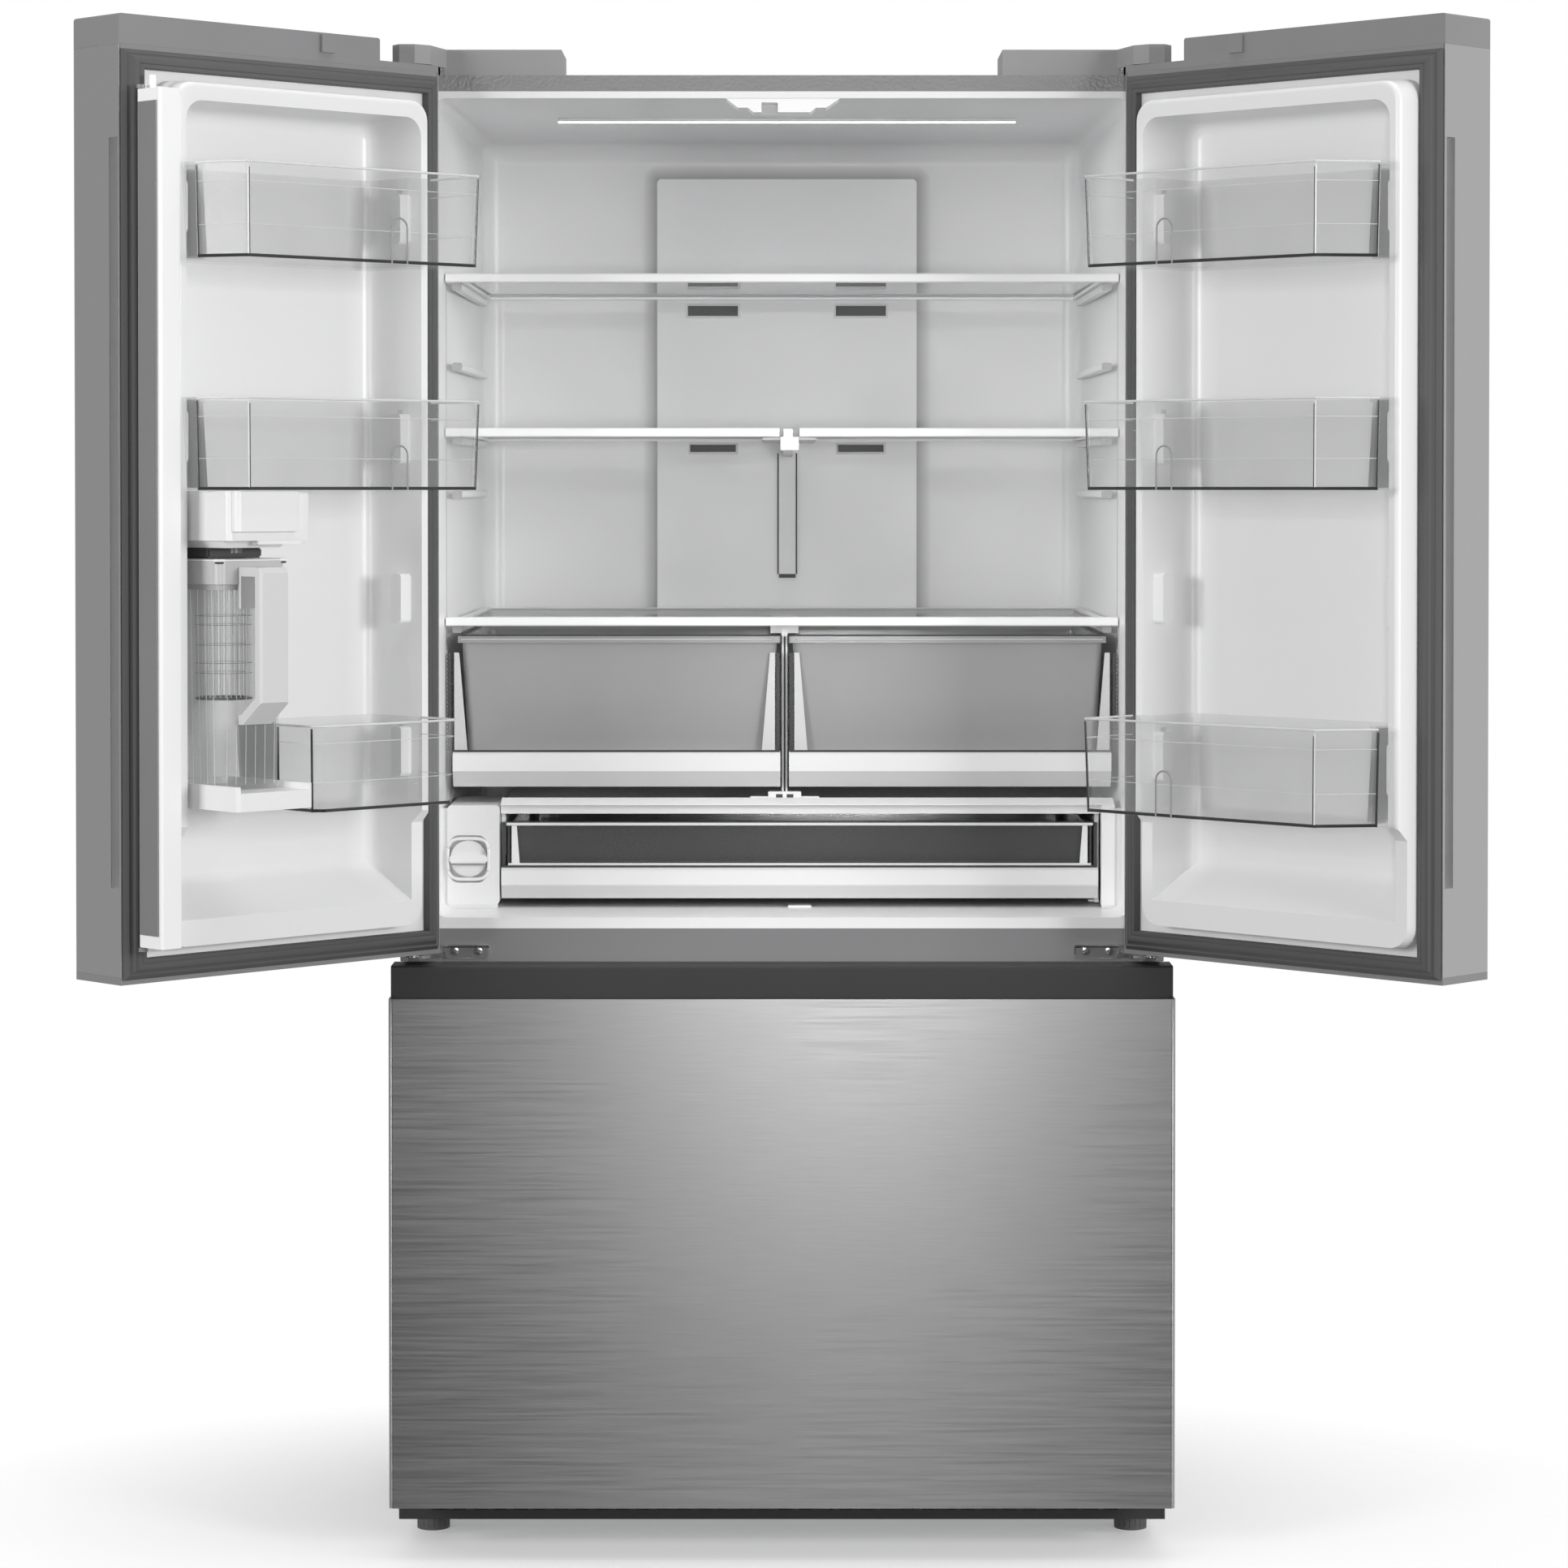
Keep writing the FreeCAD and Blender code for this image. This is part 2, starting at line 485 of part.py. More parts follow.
def duct_piece():
    """Cold air duct cover on the rear wall, open behind, with three pairs of vents."""
    panel = rounded_box(*DUCT_X, *DUCT_Y, DUCT_BOTTOM, DUCT_TOP, 6.0, Y_AXIS)
    panel = panel.cut(rounded_box(DUCT_X[0] + 3, DUCT_X[1] - 3, DUCT_Y[0] + 3, DUCT_Y[1] + 1, DUCT_BOTTOM + 3,
                                  DUCT_TOP - 3, 4.0, Y_AXIS))
    middle = (DUCT_X[0] + DUCT_X[1]) / 2
    for z, height, width in DUCT_VENTS:
        for side in (-1, 1):
            x = middle + side * VENT_SPREAD
            panel = panel.cut(box(x - width / 2, x + width / 2, DUCT_Y[0] - 1, DUCT_Y[0] + 4, z, z + height))
    add("duct_panel", panel)


def roof_pieces():
    lens = rounded_box(-278, 290, 259, 309, LINER_ROOF - 3.6, LINER_ROOF - 0.9, 4)
    add("light_lens", lens)
    outline = [(-66, 1700.8), (-52, 1690), (-40, 1690), (-33, 1684.5), (33, 1684.5), (40, 1690), (52, 1690),
               (68, 1700.8)]
    guide = profile_along_y(outline, 0.6, 44.0)
    add("mullion_guide", guide.cut(box(-24.0, -5.0, -1, 30.0, 1684.0, 1696.0)))


def crisper(side):
    """Vegetable drawer: clear tub, wide pull bar in front, and a rim that runs on the rails."""
    x0, x1 = CRISPER_X[side]
    body = tub(rectangle(x0 + 4, x1 - 4, INNER_FRONT + 10, 596.0), *CRISPER_Z, 9.0, WALL, 10.0)
    profile = [(1, 901), (1, 921), (5, 924), (24, 924), (24, 918), (7, 916), (7, 901), (16, 884), (24, 884),
               (24, 881.5), (13, 881.5)]
    bar = profile_along_x([(INNER_FRONT + y, z) for y, z in profile], *CRISPER_BAR_X[side])
    rim = rounded_box(x0, x1, INNER_FRONT + 5, 598.0, 1056.0, 1064.0, 2.0)
    rim = rim.cut(box(x0 + 9, x1 - 9, INNER_FRONT + 16, 590.0, 1055, 1065))
    return fused(body, bar, rim)


def drawer_pieces():
    for side in ("left", "right"):
        add(side + "_crisper", crisper(side))

    # rails that carry the crispers and the deli cover
    divider = box(-0.5, 6.5, INNER_FRONT + 30, 600.0, 863.5, COVER_SHELF_Z)
    centre_rail = box(-14.0, 20.0, INNER_FRONT + 40, 600.0, 1066.5, COVER_SHELF_Z - 0.2)
    lower_beam = box(-396, 396, 560, 600, 863.0, 876.0)
    add("crisper_frame", fused(divider, centre_rail, lower_beam))

    cover = box(-339, 383, 116.0, 590.0, 850.5, 862.0)
    cover = cover.cut(box(-330, 374, 130.0, 582.0, 850.0, 858.5))
    hangers = [box(-339, -334, 130.0, 560.0, 800.0, 851.0), box(378, 383, 130.0, 560.0, 742.0, 851.0)]
    filler = rounded_box(384, 400.5, 96.0, 118.0, 741.5, 862.0, 2.0)
    link = box(382.5, 398, 112.0, 560.0, 852.0, 860.0)
    rail = box(371.5, 378.5, 140.0, 560.0, 742.0, 744.5)
    add("deli_cover", fused(cover, hangers[0], hangers[1], filler, link, rail))

    tray = tub(rectangle(-330, 370, 118.0, 560.0), 749.0, 840.0, 6.0, WALL, 10.0)
    bar = profile_along_x([(106, 764), (106, 783), (110, 786), (126, 786), (126, 780), (112, 778), (112, 764),
                           (118, 751), (126, 751), (126, 748.5), (114, 748.5)], *DELI_BAR_X)
    rim = rounded_box(-333, 373, 114.0, 562.0, 836.0, 841.0, 2.0)
    rim = rim.cut(box(-324, 364, 124.0, 552.0, 835, 842))
    add("deli_drawer", fused(tray, bar, rim))

    housing = rounded_box(-402, -340, 96.0, 240.0, 742.0, 862.0, 5.0, Y_AXIS)
    recess = rounded_box(-400, -354, 90.0, 111.0, 769.0, 826.0, 12.0, Y_AXIS)
    bore = rod(KNOB_X, 110.0, KNOB_Z, 8.06, 26.0, Y_AXIS)
    add("filter_housing", housing.cut(recess).cut(bore))
    disc = rod(KNOB_X, 101.0, KNOB_Z, KNOB_R, 8.0, Y_AXIS)
    grip = rounded_box(KNOB_X - 20, KNOB_X + 20, 94.0, 103.0, KNOB_Z - 4.5, KNOB_Z + 4.5, 3.0, Y_AXIS)
    add("filter_knob", fused(disc, grip, rod(KNOB_X, 108.0, KNOB_Z, 8.0, 24.0, Y_AXIS)))


# ---- doors ------------------------------------------------------------------------------
def dyke(side, shrink):
    """Raised ring of the inner panel, as a solid block, shrunk to make its hollow back."""
    free = DYKE_FREE[side]
    rects = []
    for pull in (0.0, 3.0):
        rects.append((-DYKE_OUT + pull + shrink, -free - pull - shrink, DYKE_BOTTOM + pull + shrink,
                      DYKE_TOP - pull - shrink))
    tall = taper(DOOR_REAR, rects[0], DYKE_CREST - shrink, rects[1])
    corner = 24.0 - shrink
    tall = rounded(tall, corner, Y_AXIS)
    crest = [e for e in tall.Edges if abs(e.CenterOfMass.y - DYKE_CREST + shrink) < 0.1]
    tall = tall.makeFillet(6.0 - shrink * 0.8, crest)
    low, high = DYKE_STEP_Z
    relief = profile_along_x([(DYKE_CREST + 1, high + 1 + shrink), (DYKE_LOW_CREST - shrink, low + shrink),
                              (DYKE_LOW_CREST - shrink, 700), (DYKE_CREST + 1, 700)], -DYKE_OUT - 5, 0)
    return tall.cut(relief)


def dyke_pocket(side, grow):
    """The recess in the inner panel where the bins hang."""
    free = DYKE_FREE[side] + 16.0
    mouth = (-394 - grow, -free + grow, 759 - grow, 1667 + grow)
    floor = (-382 - grow, -free - 8 + grow, 806 - grow, 1664 + grow)
    y_mouth, y_floor = DYKE_CREST, -46.0
    past = 4.0
    k = past / (y_mouth - y_floor)
    wide = tuple(m + (m - f) * k for m, f in zip(mouth, floor))
    block = taper(y_mouth + past, wide, y_floor - grow, floor)
    block = rounded(block, 22.0 + grow, Y_AXIS)
    rear = [e for e in block.Edges if abs(e.CenterOfMass.y - y_floor + grow) < 0.1]
    return block.makeFillet(18.0 + grow, rear)


def lug_heights(side):
    found = [bottom + LUG_RISE for s, bottom, top in BINS.values() if s == side] + [SPARE_LUG_Z]
    if side == "left":
        found.append(SMALL_LUG_Z)
    return found


def door_panel(side):
    """Formed white inner panel: flat flange, raised ring, deep recess and bin lugs."""
    plate = box(-DOOR_OUT + 2, -DOOR_GAP - 2, DOOR_REAR - 2, DOOR_REAR, SKIN_BOTTOM, SKIN_TOP)
    shell = fused(plate, dyke(side, 0), dyke_pocket(side, WALL)
                  .common(box(-500, 0, -60, DOOR_REAR, 700, 1760)))
    shell = shell.cut(dyke_pocket(side, 0))
    shell = shell.cut(dyke(side, WALL).cut(dyke_pocket(side, WALL)))
    lugs = []
    for z in lug_heights(side):
        lugs.append(rounded_box(-398, -376, -4, 14, z, z + LUG_HEIGHT, 5.0, X_AXIS))
        if z > JUG_TOP or side == "right":
            free = DYKE_FREE[side] + 16.0
            lugs.append(rounded_box(-free - 14, -free + 6, -4, 14, z, z + LUG_HEIGHT, 5.0, X_AXIS))
    lugs = [lug.cut(dyke(side, WALL).cut(dyke_pocket(side, WALL))) for lug in lugs]
    return fused(shell, *lugs)


def door_skin():
    """Steel wrap: front sheet with returned sides, and the finger slit on the free edge."""
    wrap = box(-DOOR_OUT, -DOOR_GAP, DOOR_FRONT, DOOR_REAR, SKIN_BOTTOM, SKIN_TOP)
    wrap = rounded(wrap, SKIN_CORNER, Z_AXIS, lambda p: p.y < DOOR_FRONT + 1)
    hollow = box(-DOOR_OUT + SHEET, -DOOR_GAP - SHEET, DOOR_FRONT + SHEET, DOOR_REAR + 1,
                 SKIN_BOTTOM - 1, SKIN_TOP + 1)
    hollow = rounded(hollow, SKIN_CORNER - SHEET, Z_AXIS, lambda p: p.y < DOOR_FRONT + 2)
    slit = box(-DOOR_GAP - 3, -DOOR_GAP + 1, -30.0, -15.0, *GRIP_SLIT)
    pocket = box(-DOOR_GAP - 16, -DOOR_GAP - 0.6, -32.0, -14.2, GRIP_SLIT[0] - 2, GRIP_SLIT[1] + 2)
    pocket = pocket.cut(box(-DOOR_GAP - 14, -DOOR_GAP, -30.0, -15.0, *GRIP_SLIT))
    return fused(wrap.cut(hollow).cut(slit), pocket)


def door_caps():
    """Moulded end caps, with the bushings that turn on the hinge pins."""
    top = box(-DOOR_OUT, -DOOR_GAP, DOOR_FRONT, DOOR_REAR, SKIN_TOP + 0.1, DOOR_TOP)
    top = rounded(top, SKIN_CORNER, Z_AXIS, lambda p: p.y < DOOR_FRONT + 1)
    top = top.cut(box(-DOOR_OUT - 1, -DOOR_STEP_X, DOOR_FRONT - 1, DOOR_REAR + 1, DOOR_STEP_Z, DOOR_TOP + 1))
    top = rounded(top, 3.0, Y_AXIS, lambda p: p.z > DOOR_TOP - 1)
    top = top.cut(box(-DOOR_STEP_X + 4, -DOOR_GAP - CAP_WALL, DOOR_FRONT + CAP_WALL, DOOR_REAR - 2.2,
                      SKIN_TOP, DOOR_TOP - CAP_WALL))
    boss = rod(-PIN_X, PIN_Y, 1705.0, BUSH_R, SKIN_TOP - 1704.9)
    catch = box(-300, -281, DOOR_REAR - 1, DOOR_REAR + 4, 1737.0, 1757.0)
    bore = rod(-PIN_X, PIN_Y, 1710.0, PIN_R + PIN_PLAY, 30.0)
    top = fused(top, boss, catch).cut(bore)

    bottom = box(-DOOR_OUT, -DOOR_GAP, DOOR_FRONT, DOOR_REAR, DOOR_BOTTOM, SKIN_BOTTOM - 0.1)
    bottom = rounded(bottom, SKIN_CORNER, Z_AXIS, lambda p: p.y < DOOR_FRONT + 1)
    bottom = bottom.cut(box(-DOOR_OUT + 36, -DOOR_GAP - CAP_WALL, DOOR_FRONT + CAP_WALL, DOOR_REAR - 2.2,
                            DOOR_BOTTOM + CAP_WALL, SKIN_BOTTOM))
    bottom = fused(bottom, rod(-PIN_X, PIN_Y, SKIN_BOTTOM - 0.1, BUSH_R, 24.0))
    bottom = bottom.cut(rod(-PIN_X, PIN_Y, 690.0, PIN_R + PIN_PLAY, 38.0))
    return [top, bottom]


def ring(x0, x1, z0, z1, width, y0, y1):
    """Upright rectangular frame of one width."""
    return box(x0, x1, y0, y1, z0, z1).cut(
        box(x0 + width, x1 - width, y0 - 1, y1 + 1, z0 + width, z1 - width))


def door_gasket():
    """Magnetic gasket: a flat foot, a bellows and the magnet bead that meets the case."""
    inner = (-GASKET_IN, -GASKET_FREE_IN, GASKET_BOTTOM + 23, GASKET_TOP - 21)
    foot = box(-GASKET_OUT, -GASKET_FREE_OUT, DOOR_REAR, DOOR_REAR + 4, GASKET_BOTTOM, GASKET_TOP)
    bead = box(-BEAD_OUT, -GASKET_FREE_OUT - 3, DOOR_REAR + 3, -SEAL_GAP, GASKET_BOTTOM + 3, GASKET_TOP - 3)
    bead = bead.cut(box(inner[0] + 0.5, inner[1] + 6, -20, 5, inner[2] - 5, inner[3] + 5))
    foot = foot.cut(box(inner[0], inner[1], -20, 5, inner[2], inner[3]))
    return fused(foot, bead)


def bin_outline(side):
    """Plan of a full width door bin, closed position, left hand."""
    free = DYKE_FREE[side]
    return [(-374, -40), (-374, 33), (-403, 37), (-404, 121), (-76, 121), (-free - 4, 62), (-free - 4, 34),
            (-free - 32, 33), (-free - 32, -40)]


def door_bin(side, bottom, top):
    """Clear bin hung on the lugs by two ears."""
    body = tub(bin_outline(side), bottom, top, 4.0, BIN_WALL, 5.0)
    lip = rounded(prism(bin_outline(side), top - 5, top), 5.0, Z_AXIS)
    lip = lip.cut(prism(inset(bin_outline(side), 4.0), top - 6, top + 1))
    lug_top = bottom + LUG_RISE + LUG_HEIGHT
    free = DYKE_FREE[side]
    ears = [box(-381.0, -372.5, -3, 12, lug_top + 0.2, lug_top + 5),
            box(-free - 33.5, -free - 24.5, -3, 12, lug_top + 0.2, lug_top + 5)]
    return fused(body, lip, *ears)


def small_bin():
    """Narrow bin under the water jug's tray, left door."""
    outline = [(-374, -40), (-374, 33), (-384, 37), (-384, 98), (-372, 110), (-186, 110), (-178, 100),
               (-178, -40)]
    body = tub(outline, *SMALL_BIN_Z, 5.0, BIN_WALL, 5.0)
    lug_top = SMALL_LUG_Z + LUG_HEIGHT
    return fused(body, box(-381.0, -372.5, -3, 12, lug_top + 0.2, lug_top + 5))


def mullion_pieces():
    x0, y0 = MULLION_FOLDED
    z0, z1 = MULLION_Z
    x1, y1 = x0 + MULLION_T, y0 + MULLION_W
    body = rounded_box(x0, x1 - 2.0, y0, y1, z0, z1, 3.0)
    post = rod(MULLION_POST[0], MULLION_POST[1], z1, 4.0, 16.0)
    bores = [rod(MULLION_AXIS[0], MULLION_AXIS[1], z, 3.06, 14.0) for z in (z0 - 1, z1 - 13)]
    body = fused(body, post).cut(bores[0]).cut(bores[1])
    plate = box(x1 - 2.0, x1, y0 + 5, y1 - 5, z0 + 14, z1 - 14)
    return body, plate


def mullion_brackets():
    """Arms on the left door's inner panel that carry the mullion's two pivot pins."""
    ax, ay = MULLION_AXIS
    z0, z1 = MULLION_Z
    arms = []
    for z, pin_z in ((z0 - 5.0, z0 - 4.0), (z1 + 1.0, z1 - 12.0)):
        shank = box(-62.0, ax, 1.0, 6.0, z, z + 4)
        arms.append(fused(shank, rod(ax, ay, z, 5.5, 4.0), rod(ax, ay, pin_z, 3.0, 16.0)))
    return arms


def dispenser_pieces():
    """Water fill housing, jug and tray on the left door."""
    housing = rounded_box(-180, -67, 0, 97.0, 1186.0, 1240.0, 6.0)
    housing = fused(housing, box(-180, -82, -43, 8, 1186.0, 1240.0),
                    rounded_box(-160, -72, 80, 106.0, 1196.0, 1240.0, 6.0))
    nozzle = rod(-115, 40, 1172.0, 12.0, 15.0)
    chute = drafted(rectangle(-158, -72, 2, 84), 1178.0, 1187.0, 6.0)
    tray = fused(rounded_box(-171, -67, 0, 112.0, 893.0, 920.0, 5.0), box(-171, -82, -43, 8, 893.0, 920.0))
    tray = tray.cut(box(-166, -71.5, -33, 120.0, 913.0, 921.0))
    add("dispenser", fused(housing, chute, nozzle), tray)

    jug = tub(rectangle(*JUG_X, *JUG_Y), *JUG_Z, 4.0, WALL, 10.0)
    grip = profile_along_x([(73.4, 1157), (106, 1157), (112, 1151), (112, 1010), (80, 985), (68.5, 985),
                            (68.5, 996), (77, 996), (102, 1015), (102, 1147), (77.5, 1147), (77.5, 1112),
                            (71, 1112), (71, 1137.8), (73.4, 1137.8)], *JUG_HANDLE_X)
    grip = rounded(grip, 3.0, Z_AXIS, lambda p: p.y > 111)
    add("pitcher_body", fused(jug, grip))
    (x0, x1), (y0, y1) = JUG_X, JUG_Y
    lid = fused(rounded_box(x0 - 1, x1 + 1, y0 - 1, y1 + 1, JUG_Z[1] + 0.3, JUG_TOP, 10.0),
                rounded_box(x0 + 4, x1 - 4, y0 + 4, y1 - 4, 1132.0, 1139.0, 8.0))
    add("pitcher_lid", lid)


def door_pieces():
    """Both doors with their bins, built closed on the left and mirrored for the right."""
    swung = {}
    for side in ("left", "right"):
        swung[side + "_door_skin"] = (side, [door_skin()])
        swung[side + "_door_caps"] = (side, door_caps())
        panel = door_panel(side)
        if side == "left":
            panel = fused(panel, *mullion_brackets())
        swung[side + "_door_panel"] = (side, [panel])
        swung[side + "_door_gasket"] = (side, [door_gasket()])
    for name, (side, bottom, top) in BINS.items():
        swung[name] = (side, [door_bin(side, bottom, top)])
    swung["left_lower_bin"] = ("left", [small_bin()])
    body, plate = mullion_pieces()
    swung["mullion_body"] = ("left", [body])
    swung["mullion_plate"] = ("left", [plate])
    dispenser_pieces()
    for name in ("dispenser", "pitcher_body", "pitcher_lid"):
        swung[name] = ("left", parts.pop(name).Solids)
    for name, (side, solids) in swung.items():
        turned = []
        for solid in solids:
            solid = solid if side == "left" else mirrored(solid)
            turned.append(swing(solid, side))
        add(name, *turned)


def swing(shape, side):
    """Turn a closed door piece about its hinge pin to the open position."""
    sign = -1 if side == "left" else 1
    turned = shape.copy()
    turned.rotate(V(sign * PIN_X, PIN_Y, 0), Z_AXIS, sign * DOOR_OPEN)
    return turned


# ---- freezer drawer ---------------------------------------------------------------------
def freezer_pieces():
    steel = rounded(box(-DOOR_OUT, DOOR_OUT, DOOR_FRONT, DOOR_REAR, DRAWER_BOTTOM, DRAWER_STEEL_TOP),
                    SKIN_CORNER, Z_AXIS, lambda p: p.y < DOOR_FRONT + 1)
    hollow = box(-DOOR_OUT + SHEET, DOOR_OUT - SHEET, DOOR_FRONT + SHEET, DOOR_REAR + 1,
                 DRAWER_BOTTOM + SHEET, DRAWER_STEEL_TOP + 1)
    hollow = rounded(hollow, SKIN_CORNER - SHEET, Z_AXIS, lambda p: p.y < DOOR_FRONT + 2)
    add("drawer_skin", steel.cut(hollow))

    side_in = DOOR_OUT - SHEET - 0.2
    channel_front = DOOR_FRONT + SHEET + 4.0
    channel = box(-side_in, side_in, channel_front, DOOR_REAR - 2.2, POCKET_FLOOR, DRAWER_STEEL_TOP + 0.2)
    cap = box(-DOOR_OUT, DOOR_OUT, DRAWER_CAP_Y, DOOR_REAR - 2.2, DRAWER_STEEL_TOP + 0.2, DRAWER_TOP)
    cap = rounded(cap, 3.0, X_AXIS, lambda p: p.z > DRAWER_TOP - 1)
    handle = fused(channel, cap)
    pocket_half = side_in - CAP_WALL
    handle = handle.cut(box(-pocket_half, pocket_half, channel_front + 2.5, DRAWER_CAP_Y,
                            POCKET_FLOOR + CAP_WALL, DRAWER_TOP + 1))
    handle = handle.cut(box(-pocket_half, pocket_half, DRAWER_CAP_Y + CAP_WALL, DOOR_REAR - 2.2,
                            POCKET_FLOOR - 1, DRAWER_TOP - CAP_WALL))
    add("drawer_handle", handle)

    plate = box(-DOOR_OUT + 2, DOOR_OUT - 2, DOOR_REAR - 2, DOOR_REAR, DRAWER_BOTTOM + 2, DRAWER_TOP - 4)
    raised = rounded(taper(DOOR_REAR - 1, (-392, 392, 104, 652), 6.0, (-388, 388, 108, 648)), 18.0, Y_AXIS)
    behind = taper(DOOR_REAR - 2, (-389.5, 389.5, 106.5, 649.5), 3.5, (-385.5, 385.5, 110.5, 645.5))
    raised = raised.cut(rounded(behind, 18.0 - WALL, Y_AXIS))
    panel = plate.cut(box(-380, 380, -20, 0, 116, 640))
    add("drawer_panel", fused(panel, raised))

    foot = ring(-440, 440, 66.0, 684.5, 24.0, DOOR_REAR, DOOR_REAR + 4)
    bead = ring(-437, 437, 69.0, 681.5, 16.0, DOOR_REAR + 3, -SEAL_GAP)
    add("drawer_gasket", fused(foot, bead))

    fixed, middle, moving = [], [], []
    for z0, z1, group, x0, x1, y0, y1 in (
            (332, 368, fixed, 388.0, FREEZER_HALF, 14.0, 530.0),
            (336, 364, middle, 376.0, 387.6, 18.0, 520.0),
            (332, 368, moving, 366.0, 375.6, 6.2, 505.0)):
        rail = box(x0, x1, y0, y1, z0, z1)
        groove = box(x0 - 1, x0 + 5, y0 - 1, y1 + 1, z0 + 9, z1 - 9)
        group += both_sides(rail.cut(groove))
    add("freezer_rails", *fixed)
    add("rails_middle", *middle)
    bridge = box(-366.0, 366.0, 6.2, 12.0, 332.0, 368.0)
    add("rails_moving", fused(moving[0], moving[1], bridge))

    bin_body = tub(rectangle(-352, 352, 14.0, 408.0), *BIN_Z, 8.0, WALL, 20.0)
    flange = rounded_box(-362, 362, 13.0, 420.0, 368.2, 372.5, 4.0)
    flange = flange.cut(rounded_box(-346, 346, 20.0, 402.0, 367, 374, 12.0))
    add("freezer_bin", fused(bin_body, flange, *both_sides(box(355, 373, 30.0, 400.0, 368.2, 371.2))))

    basket = tub(rectangle(-378, 378, 20.0, 520.0), *BASKET_Z, 8.0, WALL, 20.0)
    for i in range(15):
        x = -350 + i * 48
        basket = basket.cut(rounded_box(x, x + 28, 60.0, 480.0, 439.0, 443.0, 6.0))
    runners = both_sides(box(374, 398.5, 24.0, 516.0, 432.2, 440.5))
    wall_ties = both_sides(box(366, 380, 24.0, 516.0, 440.0, 444.0))
    add("freezer_basket", fused(basket, *(runners + wall_ties)))


# ---- feet and rollers -------------------------------------------------------------------
def foot():
    """Levelling leg: ribbed collar under a threaded stem."""
    collar = rod(0, 0, 0, FOOT_R, FOOT_HEIGHT)
    for i in range(FOOT_GROOVES):
        groove = rod(FOOT_R + 1.1, 0, 4.0, 1.9, 16.0)
        groove.rotate(ORIGIN, Z_AXIS, i * 360.0 / FOOT_GROOVES)
        collar = collar.cut(groove)
    return fused(collar, rod(0, 0, FOOT_HEIGHT, FOOT_STEM_R, 36.0))


def base_pieces():
    for side, name in ((-1, "left_foot"), (1, "right_foot")):
        add(name, foot().translated(V(side * FOOT_X, FOOT_Y, 0)))
    rollers = [rod(side * ROLLER_X - 12, ROLLER_Y, ROLLER_R, ROLLER_R, 24, X_AXIS) for side in (-1, 1)]
    add("rear_rollers", fused(rod(-430.0, ROLLER_Y, ROLLER_R, AXLE_R, 860, X_AXIS), *rollers))


def build():
    cabinet_pieces()
    cooling_pieces()
    hinge_pieces()
    shelf_pieces()
    duct_piece()
    roof_pieces()
    drawer_pieces()
    door_pieces()
    freezer_pieces()
    base_pieces()


build()
whole = Part.makeCompound(list(parts.values())).BoundBox
ORIGIN_Y = round((whole.YMin + whole.YMax) / 2, 1)
os.makedirs("parts", exist_ok=True)
for name, shape in parts.items():
    placed = shape.translated(V(0, -ORIGIN_Y, 0))
    placed.exportStep("parts/" + name + ".step")
print("nodes", len(parts), "origin y", ORIGIN_Y, "size", whole.XLength, whole.YLength, whole.ZLength)
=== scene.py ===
"""Looks of the french door refrigerator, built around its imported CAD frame.  Metres."""

import json
from math import copysign, cos, pi, radians, sin

import bmesh
import bpy
from mathutils import Matrix, Vector


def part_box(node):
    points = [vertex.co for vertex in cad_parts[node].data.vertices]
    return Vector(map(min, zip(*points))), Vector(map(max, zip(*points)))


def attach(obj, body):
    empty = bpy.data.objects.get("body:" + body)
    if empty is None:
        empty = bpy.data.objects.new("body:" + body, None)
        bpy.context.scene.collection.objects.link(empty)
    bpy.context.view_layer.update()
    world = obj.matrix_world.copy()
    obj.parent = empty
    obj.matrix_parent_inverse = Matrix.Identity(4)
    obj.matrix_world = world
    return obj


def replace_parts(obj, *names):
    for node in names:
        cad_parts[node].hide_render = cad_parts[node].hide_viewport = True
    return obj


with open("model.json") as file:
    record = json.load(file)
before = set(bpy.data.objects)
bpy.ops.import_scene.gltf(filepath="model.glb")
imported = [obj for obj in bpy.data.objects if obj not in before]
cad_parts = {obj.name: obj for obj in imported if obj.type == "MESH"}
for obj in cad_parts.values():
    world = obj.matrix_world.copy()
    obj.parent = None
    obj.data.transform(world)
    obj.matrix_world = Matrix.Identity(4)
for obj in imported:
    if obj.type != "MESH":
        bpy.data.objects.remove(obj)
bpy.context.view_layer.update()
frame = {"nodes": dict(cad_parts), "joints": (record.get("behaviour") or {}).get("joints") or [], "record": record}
NODES = frame["nodes"]
JOINTS = {joint["name"]: joint for joint in frame["joints"]}
FRONT_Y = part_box("cabinet_shell")[0].y  # front plane of the case


def show(name, data):
    """New object of the scene."""
    made = bpy.data.objects.new(name, data)
    bpy.context.scene.collection.objects.link(made)
    return made


SIDES = ("left", "right")


# ---- the doors' own coordinates ----
def swing_matrix(side):
    """Takes a place on the closed door to where the opened door holds it at rest."""
    joint = JOINTS[side + "_door_hinge"]
    pin = Vector((joint["pos_m"][0], joint["pos_m"][1], 0.0))
    closing = radians(joint["range_deg"][0]) * joint["axis"][2]
    return Matrix.Translation(pin) @ Matrix.Rotation(-closing, 4, "Z") @ Matrix.Translation(-pin)


SWING = {side: swing_matrix(side) for side in SIDES}


def closed_box(node, side):
    """Lowest and highest corner of a door's CAD node, with the door closed."""
    back = SWING[side].inverted()
    corners = [back @ v.co for v in NODES[node].data.vertices]
    low = Vector([min(c[i] for c in corners) for i in range(3)])
    high = Vector([max(c[i] for c in corners) for i in range(3)])
    return low, high


# ---- material helpers ----
DRIFT = (0.3, 0.7)  # values of a texture between which a colour or a gloss drifts


